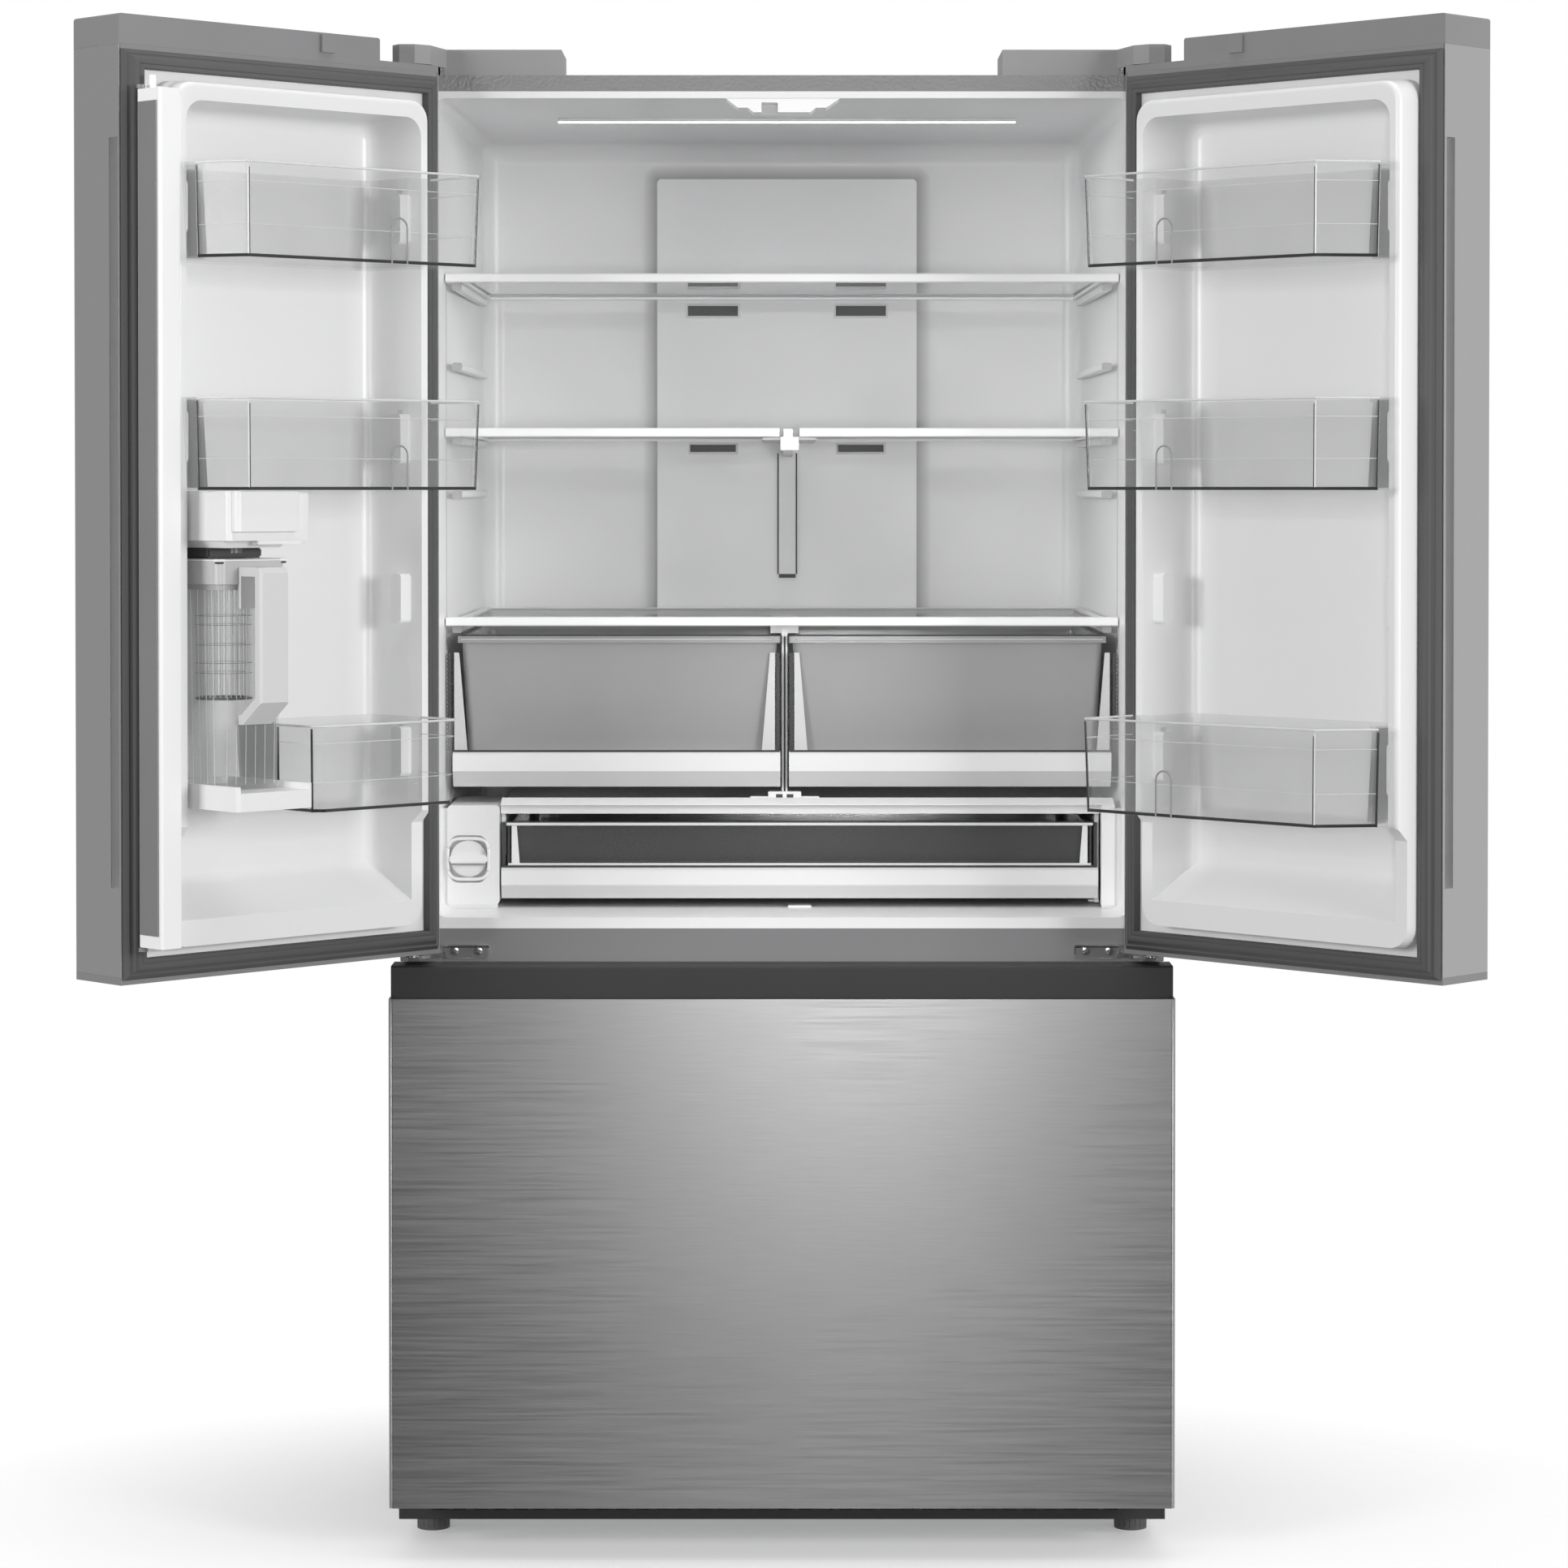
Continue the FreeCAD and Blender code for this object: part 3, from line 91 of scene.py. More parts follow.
class Tree:
    """Shader nodes of a material or a world."""

    def __init__(self, owner):
        owner.use_nodes = True
        self.tree = owner.node_tree
        self.link = self.tree.links.new

    def node(self, kind, inputs=None, **settings):
        made = self.tree.nodes.new("ShaderNode" + kind)
        for key, value in settings.items():
            setattr(made, key, value)
        self.set(made, inputs or {})
        return made

    def set(self, node, inputs):
        for key, value in inputs.items():
            node.inputs[key].default_value = value


class Look(Tree):
    """One Principled material, with procedural detail added layer by layer."""

    def __init__(self, name, color, roughness, metallic=0.0, **sockets):
        self.material = bpy.data.materials.new(name)
        super().__init__(self.material)
        self.shader = self.tree.nodes["Principled BSDF"]
        self.name, self.color, self.roughness = name, color, roughness
        self.set(self.shader, {"Metallic": metallic})
        self.set(self.shader, {key.replace("_", " "): value for key, value in sockets.items()})
        self.place = self.node("Mapping")
        self.link(self.node("TexCoord").outputs["Object"], self.place.inputs["Vector"])
        self.normal = None

    def noise(self, scale, stretch=(1.0, 1.0, 1.0), detail=3.0, roughness=0.55):
        """Noise texture over the object's own coordinates; stretch is cells per axis."""
        spread = self.node("Mapping", {"Scale": stretch})
        self.link(self.place.outputs["Vector"], spread.inputs["Vector"])
        settings = {"Scale": scale, "Detail": detail, "Roughness": roughness}
        made = self.node("TexNoise", settings)
        self.link(spread.outputs["Vector"], made.inputs["Vector"])
        return made.outputs["Fac"]

    def cells(self, scale):
        """Cell texture, one random colour for each cell."""
        made = self.node("TexVoronoi", {"Scale": scale}, feature="F1")
        self.link(self.place.outputs["Vector"], made.inputs["Vector"])
        return made.outputs["Color"]

    def ramp(self, source, stops):
        """Colour ramp; stops are (position, value) or (position, colour)."""
        stops = list(stops)
        made = self.node("ValToRGB")
        elements = made.color_ramp.elements
        while len(elements) < len(stops):
            elements.new(0.5)
        for element, (position, value) in zip(elements, stops):
            element.position = position
            element.color = value if isinstance(value, tuple) else (value, value, value, 1.0)
        self.link(source, made.inputs["Fac"])
        return made.outputs["Color"]

    def tone(self, source, amount):
        """Base colour that drifts by amount either way with a texture."""
        low = tuple(min(1.0, c * (1.0 - amount)) for c in self.color[:3]) + (1.0,)
        high = tuple(min(1.0, c * (1.0 + amount)) for c in self.color[:3]) + (1.0,)
        self.link(self.ramp(source, zip(DRIFT, (low, high))), self.shader.inputs["Base Color"])

    def gloss(self, source, spread):
        """Roughness that drifts by spread either way with a texture."""
        low, high = max(0.0, self.roughness - spread), self.roughness + spread
        self.link(self.ramp(source, zip(DRIFT, (low, high))), self.shader.inputs["Roughness"])

    def math(self, operation, a, b, kind="Math"):
        """Result of a math node on a socket and a second socket or a constant, if any."""
        is_socket = isinstance(b, bpy.types.NodeSocket)
        made = self.node(kind, {} if is_socket or b is None else {1: b}, operation=operation)
        self.link(a, made.inputs[0])
        if is_socket:
            self.link(b, made.inputs[1])
        return made.outputs["Value" if kind == "Math" or operation == "LENGTH" else "Vector"]

    def vector(self, operation, a, b=None):
        return self.math(operation, a, b, "VectorMath")

    def inside(self, low, high):
        """1 within an upright box of the object's own coordinates, and 0 outside it."""
        low, high = Vector(low), Vector(high)
        offset = self.vector("SUBTRACT", self.place.outputs["Vector"], (low + high) / 2)
        size = self.vector("ABSOLUTE", offset)
        split = self.node("SeparateXYZ")
        self.link(size, split.inputs["Vector"])
        product = None
        for axis in range(3):
            test = self.math("LESS_THAN", split.outputs[axis], (high[axis] - low[axis]) / 2)
            product = self.math("MULTIPLY", product, test) if product else test
        return product

    def near(self, low, high, reach):
        """1 in an upright box of the object's own coordinates, falling to 0 at reach from it."""
        low, high = Vector(low), Vector(high)
        source = self.place.outputs["Vector"]
        for operation, value in (("SUBTRACT", (low + high) / 2), ("ABSOLUTE", None),
                                 ("SUBTRACT", (high - low) / 2), ("MAXIMUM", Vector()),
                                 ("LENGTH", None)):
            source = self.vector(operation, source, value)
        return self.fade(source, 0.0, reach)

    def fade(self, source, start, end):
        """1 where the source is up to start, falling to 0 where it reaches end."""
        limits = {"From Min": start, "From Max": end, "To Min": 1.0, "To Max": 0.0}
        made = self.node("MapRange", limits)
        self.link(source, made.inputs["Value"])
        return made.outputs["Result"]

    def patch(self, mask, **values):
        """Where the mask is 1, these shader sockets take other values."""
        for key, value in values.items():
            socket = self.shader.inputs[key.replace("_", " ")]
            is_color = isinstance(value, tuple)
            kind = "RGBA" if is_color else "VALUE"
            mix = self.node("Mix", data_type="RGBA" if is_color else "FLOAT")
            a, b = [i for i in mix.inputs if i.name in "AB" and i.type == kind]
            out = [o for o in mix.outputs if o.type == kind][0]
            if socket.is_linked:
                self.link(socket.links[0].from_socket, a)
            else:
                a.default_value = socket.default_value
            b.default_value = value + (1.0,) if is_color else value
            self.link(mask, mix.inputs["Factor"])
            self.link(out, socket)

    def bump(self, source, height, strength=1.0):
        """Adds a relief of the given height in metres."""
        made = self.node("Bump", {"Strength": strength, "Distance": height})
        self.link(source, made.inputs["Height"])
        if self.normal is not None:
            self.link(self.normal, made.inputs["Normal"])
        self.normal = made.outputs["Normal"]
        self.link(self.normal, self.shader.inputs["Normal"])


def moulded(name, color, roughness, grain=900.0, relief=0.00001, drift=0.03, **sockets):
    """Injection moulded plastic: a faint mottle, uneven gloss and a fine spark texture."""
    look = Look(name, color, roughness, **sockets)
    look.tone(look.noise(scale=6.0), drift)
    look.gloss(look.noise(scale=9.0), spread=0.03)
    look.bump(look.noise(grain, detail=1.0), relief)
    return look


def brushed(name, color, roughness):
    """Stainless sheet brushed along the panel's width."""
    look = Look(name, color, roughness, metallic=1.0,
                Anisotropic=0.65, Anisotropic_Rotation=0.25)
    streaks = look.noise(1.0, stretch=(14.0, 900.0, 900.0), detail=4.0, roughness=0.7)
    look.tone(streaks, amount=0.07)
    look.gloss(look.noise(1.0, stretch=(6.0, 300.0, 300.0)), spread=0.05)
    look.bump(streaks, height=0.00003)
    tangent = look.node("Tangent", direction_type="RADIAL", axis="Z")
    look.link(tangent.outputs["Tangent"], look.shader.inputs["Tangent"])
    return look


def plated(name, color, roughness, drift=0.08, scale=60.0):
    """Zinc or galvanised steel: cloudy gloss with faint spangle."""
    look = Look(name, color, roughness, metallic=1.0)
    look.tone(look.cells(scale), drift)
    look.gloss(look.noise(scale=25.0), spread=0.08)
    look.bump(look.noise(scale=300.0), height=0.00002)
    return look


EDGE_DENSITY = 0.2  # how much denser clear plastic looks edge on


def clear(name, color, roughness, density, **sockets):
    """Clear plastic or glass: see-through face on, denser towards its edges."""
    look = Look(name, color, roughness, **sockets)
    look.tone(look.noise(scale=4.0), amount=0.04)
    look.gloss(look.noise(scale=30.0), spread=0.02)
    look.bump(look.noise(scale=20.0, detail=1.0), height=0.00004)
    rim = look.node("LayerWeight", {"Blend": 0.25})
    limits = {"To Min": density, "To Max": min(1.0, density + EDGE_DENSITY)}
    dense = look.node("MapRange", limits)
    look.link(rim.outputs["Facing"], dense.inputs["Value"])
    look.link(dense.outputs["Result"], look.shader.inputs["Alpha"])
    return look


# ---- shared finishes ----
STEEL, STEEL_ROUGHNESS = (0.57, 0.57, 0.575), 0.385
DRAWER_STEEL, DRAWER_ROUGHNESS = (0.47, 0.47, 0.474), 0.35
FLANGE_GREY = (0.235, 0.235, 0.24)
LINER_WHITE, LINER_ROUGHNESS = (0.83, 0.83, 0.835), 0.32
SHADED_WHITE = (0.42, 0.42, 0.42)
DUCT_SHADED = (0.42, 0.42, 0.425)
CASE_GREY = (0.27, 0.27, 0.275)
BLACK = (0.03, 0.03, 0.032)
LIGHT_GREY = (0.62, 0.62, 0.625)
FULL_WHITE = (1.0, 1.0, 1.0, 1.0)
PAINTED_GLOW = {"Emission_Color": FULL_WHITE, "Emission_Strength": 0.05}  # painted light: a faint glow that brightens clear parts


def materials():
    """Looks of the record's slots, and of the detail pieces that have a look of their own."""
    looks = (
        moulded("case_steel", CASE_GREY, 0.45, grain=260.0, relief=0.0006, Metallic=0.35),
        plated("back_steel", (0.6, 0.6, 0.61), 0.45, drift=0.03, scale=160.0),
        moulded("grey_trim", FLANGE_GREY, 0.42),
        moulded("gasket", (0.085, 0.085, 0.087), 0.6, grain=500.0),
        moulded("liner", LINER_WHITE, LINER_ROUGHNESS, drift=0.01),
        moulded("trim_white", (0.93, 0.93, 0.93), 0.35, drift=0.01),
        # clear plastic glows faintly: painted light
        clear("clear_plastic", (0.58, 0.585, 0.59), 0.06, 0.05, **PAINTED_GLOW),
        clear("shelf_glass", (0.8, 0.83, 0.82), 0.04, 0.06),
        moulded("black_plastic", BLACK, 0.5),
        moulded("mullion_steel", (0.25, 0.25, 0.255), 0.4, Metallic=0.3),
        plated("zinc_steel", (0.78, 0.78, 0.79), 0.18),
        moulded("foam", (0.85, 0.78, 0.6), 0.9, grain=200.0, relief=0.0008, drift=0.1),
        moulded("black_enamel", BLACK, 0.35),
        plated("fin_aluminium", (0.75, 0.76, 0.78), 0.35),
        plated("brass", (0.78, 0.57, 0.28), 0.3),
        moulded("foot_plastic", (0.075, 0.075, 0.078), 0.65),
        plated("galvanised", (0.5, 0.51, 0.52), 0.4),
        moulded("knob_white", (0.86, 0.86, 0.86), 0.35, drift=0.01),
        moulded("lid_grey", (0.54, 0.54, 0.545), 0.35),
        # painted highlights: light lines on clear plastic
        moulded("edge_highlight", (0.72, 0.72, 0.725), 0.2, drift=0.05),
        moulded("bin_shadow", BLACK, 0.25, drift=0.1),
        moulded("dark_line", (0.05, 0.05, 0.052), 0.45, drift=0.1),
        moulded("cover_grey", (0.3, 0.3, 0.305), 0.42),
        moulded("strip_grey", LIGHT_GREY, 0.35),
        moulded("throat_grey", (0.17, 0.17, 0.172), 0.5),
        moulded("handle_black", (0.032, 0.032, 0.034), 0.45),
    )
    return {look.name: look for look in looks}


LOOKS = materials()


# ---- looks painted by place ----
GASKET_PROFILE = ((0.0, 0.0), (0.0, 0.002), (0.05, 0.0032), (0.2, 0.0058), (0.26, 0.0054),
                  (0.32, 0.006), (0.4, 0.0086), (0.48, 0.0108), (0.56, 0.0114), (0.72, 0.0114),
                  (0.76, 0.0108), (0.8, 0.0113), (0.96, 0.0111), (1.0, 0.0102), (1.0, 0.0))
GASKET_WIDTHS = (0.02, 0.025, 0.023, 0.021)  # hinge side, free side, bottom, top
DRAWER_GASKET_WIDTHS = (0.024,) * 4
FLANGE_SHARE = 0.6  # of the seal's width, where a door's inner panel turns white
THROUGH = 0.1  # painted boxes reach this far past the panel's front and back
SKIN = 0.001  # painted boxes reach this far past the surface they cover
BAR_WHITE, BAR_UNDER_SHADE = (0.84, 0.84, 0.84), (0.68, 0.68, 0.68)
UNDER_SHARE = 0.45  # of a pull bar's height, its slope that faces down, painted darker as shade
BAR_DEPTH, BAR_HEIGHT = 0.0245, 0.043  # pull bar of a crisper
DELI_BAR_DEPTH, DELI_BAR_HEIGHT = 0.0205, 0.038
SLIT_MARGIN = 0.0005  # outer skin left in steel around the dark finger slit
SLIT_DEPTH = 0.0035  # dark part of the finger slit, next to the seal
SLIT_REAR, SLIT_ENDS = 0.0015, 0.09  # from the door skin's rear, and from its ends
POCKET_SIZE = 0.018  # depth and width of the slit's recess
GLOW_WIDTH, GLOW_DEPTH = 0.07, 0.03  # painted light: a faint glow on the recess wall beside a door's hinge
GLOW_ENDS, GLOW_FADE = 0.1, 0.04
GRIP_GAP, GRIP_REACH = 0.0006, 0.01  # jug handle: from the lid's front, and past the jug
NOZZLE_GAP = 0.0119  # between the jug's lid and the water housing above it
DUCT_SHADE = 0.02  # reach of the shade beside the air duct panel
PALE_REACH = 0.5  # painted light: above the lowest shelf, where the paler white ends
LEDGE_SETBACK = 0.025  # of the side ledges' ends, behind the shelves' front
LEDGE_FRONT, LEDGE_REAR, LEDGE_DROP = 0.002, 0.005, 0.03  # their shade: before, behind, below
LIT_SHARE, LIT_REACH = 0.4, 0.01  # lit part of the lamp lens, and past its faces


def on_closed_door(look, side):
    """Make a look's coordinates those of the closed door, whatever the door's swing at rest."""
    back = SWING[side].inverted()
    look.set(look.place, {"Rotation": back.to_euler(), "Location": back.to_translation()})
    return look


def tub_look(name, node, color, depth, height):
    """Tinted tub whose pull bar, low in front, is solid white, with painted shade on its lower slope."""
    look = clear(name, color, 0.12, density=0.66)
    low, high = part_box(node)
    start = (-1.0, low.y - SKIN, low.z - SKIN)  # x: past the whole compartment
    bar = look.inside(start, (1.0, low.y + depth, low.z + height))
    look.patch(bar, Base_Color=BAR_WHITE, Alpha=1.0, Roughness=0.35)
    # painted shade: the bar's lower slope is darker, as if turned from the light
    under = look.inside(start, (1.0, low.y + depth, low.z + height * UNDER_SHARE))
    look.patch(under, Base_Color=BAR_UNDER_SHADE)
    return look


def door_look(side):
    """Brushed door skin, grey inside its finger slit as painted light that lifts the recess's shade, and black
    beside the seal.
    """
    look = on_closed_door(brushed(side + "_door_steel", STEEL, STEEL_ROUGHNESS), side)
    low, high = closed_box(side + "_door_skin", side)
    if side == "left":
        x0, x1 = high.x - POCKET_SIZE, high.x - SLIT_MARGIN
    else:
        x0, x1 = low.x + SLIT_MARGIN, low.x + POCKET_SIZE
    rear, z0, z1 = high.y - SLIT_REAR, low.z + SLIT_ENDS, high.z - SLIT_ENDS
    pocket = look.inside((x0, rear - POCKET_SIZE, z0), (x1, rear, z1))
    # painted light: matte pale grey where the slit's recess lies in shade
    look.patch(pocket, Base_Color=(0.6, 0.6, 0.605), Metallic=0.0, Roughness=0.5)
    slit = look.inside((x0, rear - SLIT_DEPTH, z0), (x1, rear, z1))
    look.patch(slit, Base_Color=(0.01, 0.01, 0.01), Metallic=0.0, Roughness=0.6)
    return look


def panel_look(side):
    """White inner panel of a door, grey on the flat flange under the seal, with a painted glow on the recess wall
    beside its hinge.
    """
    look = on_closed_door(moulded(side + "_door_panel", FLANGE_GREY, 0.4), side)
    low, high = closed_box(side + "_door_gasket", side)
    hinge, free, bottom, top = (FLANGE_SHARE * width for width in GASKET_WIDTHS)
    left, right = (hinge, free) if side == "left" else (free, hinge)
    raised = look.inside((low.x + left, low.y - THROUGH, low.z + bottom),
                         (high.x - right, high.y + THROUGH, high.z - top))
    look.patch(raised, Base_Color=LINER_WHITE, Roughness=LINER_ROUGHNESS)
    if side == "left":
        x0, x1 = low.x + left, low.x + GLOW_WIDTH
    else:
        x0, x1 = high.x - GLOW_WIDTH, high.x - right
    wall = look.near((x0, low.y - THROUGH, low.z + GLOW_ENDS),
                     (x1, high.y + GLOW_DEPTH, high.z - GLOW_ENDS), GLOW_FADE)
    look.set(look.shader, {"Emission Color": FULL_WHITE, "Emission Strength": 0.0})
    # painted light: the recess wall beside the hinge glows a little
    look.patch(wall, Emission_Strength=0.09)
    return look


def jug_look():
    """Clear water jug with a solid grey handle in front of it."""
    # the jug glows faintly: painted light
    look = clear("water_jug", (0.46, 0.465, 0.47), 0.06, density=0.12, **PAINTED_GLOW)
    on_closed_door(look, "left")
    low, high = closed_box("pitcher_body", "left")
    front = closed_box("pitcher_lid", "left")[1].y - GRIP_GAP
    grip = look.inside((low.x, front, low.z), (high.x, high.y + GRIP_REACH, high.z + GRIP_REACH))
    look.patch(grip, Base_Color=LIGHT_GREY, Alpha=1.0, Roughness=0.35)
    return look


def dispenser_look():
    """White water housing, painted dark as shade in the gap over the jug's lid."""
    look = on_closed_door(moulded("dispenser", (0.85, 0.85, 0.85), 0.35, drift=0.01), "left")
    low, high = closed_box("pitcher_lid", "left")
    gap_shade = look.inside((low.x, low.y, high.z), (high.x, high.y, high.z + NOZZLE_GAP))
    # painted shade in the gap between the jug's lid and the housing
    look.patch(gap_shade, Base_Color=(0.14, 0.14, 0.142), Roughness=0.3)
    return look


def inside_look(name):
    """White plastic of the fresh food compartment, with painted light: paler towards its floor."""
    look = moulded(name, (0.84, 0.84, 0.845), 0.32, drift=0.01)
    low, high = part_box("fridge_liner")
    pale = look.near(low, (high.x, high.y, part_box("shelf_frames")[0].z), PALE_REACH)
    # painted light: paler white low in the compartment
    look.patch(pale, Base_Color=(0.97, 0.97, 0.972))
    return look


def liner_look():
    """White liner, shaded beside the air duct panel and on the front ends of its ledges."""
    look = inside_look("fridge_liner")
    look.patch(look.near(*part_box("duct_panel"), DUCT_SHADE), Base_Color=DUCT_SHADED)
    low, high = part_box("fridge_liner")
    shelves_low, shelves_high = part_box("shelf_frames")
    front = shelves_low.y + LEDGE_SETBACK
    ends = look.inside((low.x, front - LEDGE_FRONT, shelves_low.z - LEDGE_DROP),
                       (high.x, front + LEDGE_REAR, shelves_high.z))
    look.patch(ends, Base_Color=SHADED_WHITE)
    return look


def lens_look():
    """Lamp lens, lit along its middle."""
    look = moulded("light_lens", (0.8, 0.8, 0.8), 0.4)
    low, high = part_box("light_lens")
    middle, half = (low.y + high.y) / 2, (high.y - low.y) * LIT_SHARE / 2
    lit = look.inside((low.x, middle - half, low.z - LIT_REACH),
                      (high.x, middle + half, high.z + LIT_REACH))
    look.set(look.shader, {"Emission Color": FULL_WHITE, "Emission Strength": 0.0})
    look.patch(lit, Emission_Strength=6.0)
    return look


def paint_frame():
    """Give every CAD node the look of its slot, or a look of its own."""
    crisper = tub_look("crisper_tub", "left_crisper", (0.47, 0.47, 0.475), BAR_DEPTH, BAR_HEIGHT)
    deli = tub_look("deli_tub", "deli_drawer", (0.13, 0.13, 0.133), DELI_BAR_DEPTH, DELI_BAR_HEIGHT)
    own = {
        "left_crisper": crisper,
        "right_crisper": crisper,
        "deli_drawer": deli,
        **{side + "_door_skin": door_look(side) for side in SIDES},
        **{side + "_door_panel": panel_look(side) for side in SIDES},
        "pitcher_body": jug_look(),
        "dispenser": dispenser_look(),
        "fridge_liner": liner_look(),
        "duct_panel": inside_look("duct_panel"),
        "drawer_skin": brushed("drawer_steel", DRAWER_STEEL, DRAWER_ROUGHNESS),
        "light_lens": lens_look(),
        "hinge_covers": LOOKS["cover_grey"],
        "drawer_handle": LOOKS["handle_black"],
    }
    for part in frame["record"]["subparts"]:
        piece = NODES[part["node"]]
        look = own.get(part["node"]) or LOOKS[part["material_slot"]]
        piece.data.materials.clear()
        piece.data.materials.append(look.material)


# ---- mesh helpers ----
MIRROR = Matrix.Diagonal((-1.0, 1.0, 1.0, 1.0))
HAND = {"left": SWING["left"], "right": SWING["right"] @ MIRROR}  # both drawn as the left door
SHARP_ANGLE = radians(35)
EDGE, FINE_EDGE = 0.0005, 0.0002  # softening of a slab's edges


def hand_box(node, side):
    """Box of a door's node with the door closed, seen as if it were the left door."""
    low, high = closed_box(node, side)
    if side == "right":
        low.x, high.x = -high.x, -low.x
    return low, high


def settle(name, bm, slot_name, body, look=None, side=None):
    """Turn a bmesh into a piece that rides a body and takes its finish from a slot.

    look: key of LOOKS, where it is not the slot's own.  side: the door that the bmesh is
    drawn for, in the coordinates of hand_box.
    """
    if side is not None:
        bmesh.ops.transform(bm, matrix=HAND[side], verts=bm.verts)
    bmesh.ops.recalc_face_normals(bm, faces=bm.faces)
    mesh = bpy.data.meshes.new(name)
    bm.to_mesh(mesh)
    bm.free()
    mesh.shade_smooth()
    mesh.set_sharp_from_angle(angle=SHARP_ANGLE)
    mesh.materials.append(LOOKS[look or slot_name].material)
    piece = show(name, mesh)
    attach(piece, body)
    return piece


def around(count):
    """Angles of count equal steps round a circle."""
    return [2 * pi * k / count for k in range(count)]


def slab(bm, low, high, bevel=EDGE):
    """Box between two corners with softened edges."""
    low, high = Vector(low), Vector(high)
    made = bmesh.ops.create_cube(bm, size=1.0)["verts"]
    size = high - low
    place = Matrix.Translation((low + high) / 2) @ Matrix.Diagonal((size.x, size.y, size.z, 1.0))
    bmesh.ops.transform(bm, matrix=place, verts=made)
    edges = list({edge: None for vert in made for edge in vert.link_edges})
    bmesh.ops.bevel(bm, geom=edges, offset=min(bevel, min(size) * 0.4), segments=2, affect="EDGES")


def post(bm, x, half, depths, levels, bevel=FINE_EDGE):
    """Slab of a half width about x, between two depths (y) and two levels (z)."""
    slab(bm, (x - half, depths[0], levels[0]), (x + half, depths[1], levels[1]), bevel)


def bridge(bm, a, b):
    """Quads between two closed rows of vertices."""
    for i in range(len(a)):
        bm.faces.new((a[i - 1], a[i], b[i], b[i - 1]))


def prism(bm, ends):
    """Solid between two outlines with the same number of points."""
    loops = [[bm.verts.new(point) for point in outline] for outline in ends]
    bm.faces.new(loops[0])
    bm.faces.new(loops[1])
    bridge(bm, loops[0], loops[1])


def wire(bm, path, radius, closed=False, sides=8):
    """Round bead along a path of points."""
    path = [Vector(p) for p in path]
    count = len(path)
    rings = []
    for i, here in enumerate(path):
        before = path[i - 1] if i or closed else here
        after = path[(i + 1) % count] if i + 1 < count or closed else here
        along = ((here - before).normalized() + (after - here).normalized()).normalized()
        across = along.cross(Vector((0, 0, 1)))
        if across.length < 0.2:  # nearly upright
            across = along.cross(Vector((0, 1, 0)))
        across.normalize()
        up = across.cross(along)
        rings.append([bm.verts.new(here + (across * cos(a) + up * sin(a)) * radius)
                      for a in around(sides)])
    for i in range(0 if closed else 1, count):
        bridge(bm, rings[i - 1], rings[i])
    if not closed:
        bm.faces.new(rings[0])
        bm.faces.new(rings[-1])


def front_line(bm, box, z, shape):
    """Bead along a drawer's front; shape is its inset from the ends, depth and radius."""
    inset, depth, radius = shape
    wire(bm, [(x, box[0].y + depth, z) for x in (box[0].x + inset, box[1].x - inset)], radius)


def mitred(bm, low, high, widths, profile, face):
    """Rectangular frame in the xz plane with mitred corners.

    widths: left, right, bottom and top.  profile: (share of the width, height) from the outer
    edge inwards.  face: y of the plane that heights are measured from.
    """
    left, right, bottom, top = widths
    loops = []
    for share, height in profile:
        x0, x1 = low.x + left * share, high.x - right * share
        z0, z1 = low.z + bottom * share, high.z - top * share
        y = face + height
        loops.append([bm.verts.new(p) for p in ((x0, y, z0), (x1, y, z0), (x1, y, z1), (x0, y, z1))])
    for i in range(len(loops)):
        bridge(bm, loops[i - 1], loops[i])


def turned(bm, centre, facing, profile, sides=24):
    """Solid of revolution; profile is (radius, height) from the foot to the last ring."""
    to_face = Vector(facing).to_track_quat("Z", "Y").to_matrix().to_4x4()
    place = Matrix.Translation(centre) @ to_face
    rings = []
    for radius, height in profile:
        ring = [(radius * cos(a), radius * sin(a), height) for a in around(sides)]
        rings.append([bm.verts.new(place @ Vector(point)) for point in ring])
    for a, b in zip(rings, rings[1:]):
        bridge(bm, a, b)
    bm.faces.new(rings[-1])
    bm.faces.new(rings[0])


SCREW_RADIUS = 0.0045
SCREW_PROFILE = ((1.0, 0.0), (1.0, 0.35), (0.85, 0.55), (0.5, 0.6), (0.42, 0.2))  # in radii


def screw_head(bm, centre, facing):
    """Pan head with a round hollow in its middle."""
    turned(bm, centre, facing, [(SCREW_RADIUS * r, SCREW_RADIUS * h) for r, h in SCREW_PROFILE])


# ---- doors ----
def seal(name, node, body, low, high, widths, side=None):
    """Ridged, mitred seal in place of a plain one."""
    bm = bmesh.new()
    mitred(bm, low, high, widths, GASKET_PROFILE, low.y)
    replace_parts(settle(name, bm, "gasket", body, side=side), node)


def gaskets():
    """Seals of the doors and of the drawer."""
    for side in SIDES:
        door = side + "_door"
        box = hand_box(door + "_gasket", side)
        seal(door + "_seal", door + "_gasket", door, *box, GASKET_WIDTHS, side)
    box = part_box("drawer_gasket")
    seal("drawer_seal", "drawer_gasket", "freezer_drawer", *box, DRAWER_GASKET_WIDTHS)


NARROW_BIN = "left_lower_bin"
NARROW_BEVEL, NARROW_SIDE = 0.01, 0.07  # its plan: corner bevels, and depth of its sides
CHAMFER_FROM_EDGE = 0.073  # from the door's free edge to where a wide bin's front turns back
CHAMFER_DEPTH, HINGE_SIDE = 0.059, 0.084  # a wide bin's walls: how far they run back
BIN_DRAFT = 0.004  # a bin is this much smaller at its floor
BEAD = 0.0013  # radius of a bin's rim
MOULDED_LINES = ((0.79, 0.3), (0.34, 0.25))  # share of the bin's height, radius in beads
FOLD_FOOT, FOLD_TOP = 0.02, 0.96  # shares of the height: ends of the corner's line
FOLD_BEAD, CHANNEL_BEAD, FOOT_BEAD = BEAD * 0.6, BEAD * 0.8, BEAD * 1.4
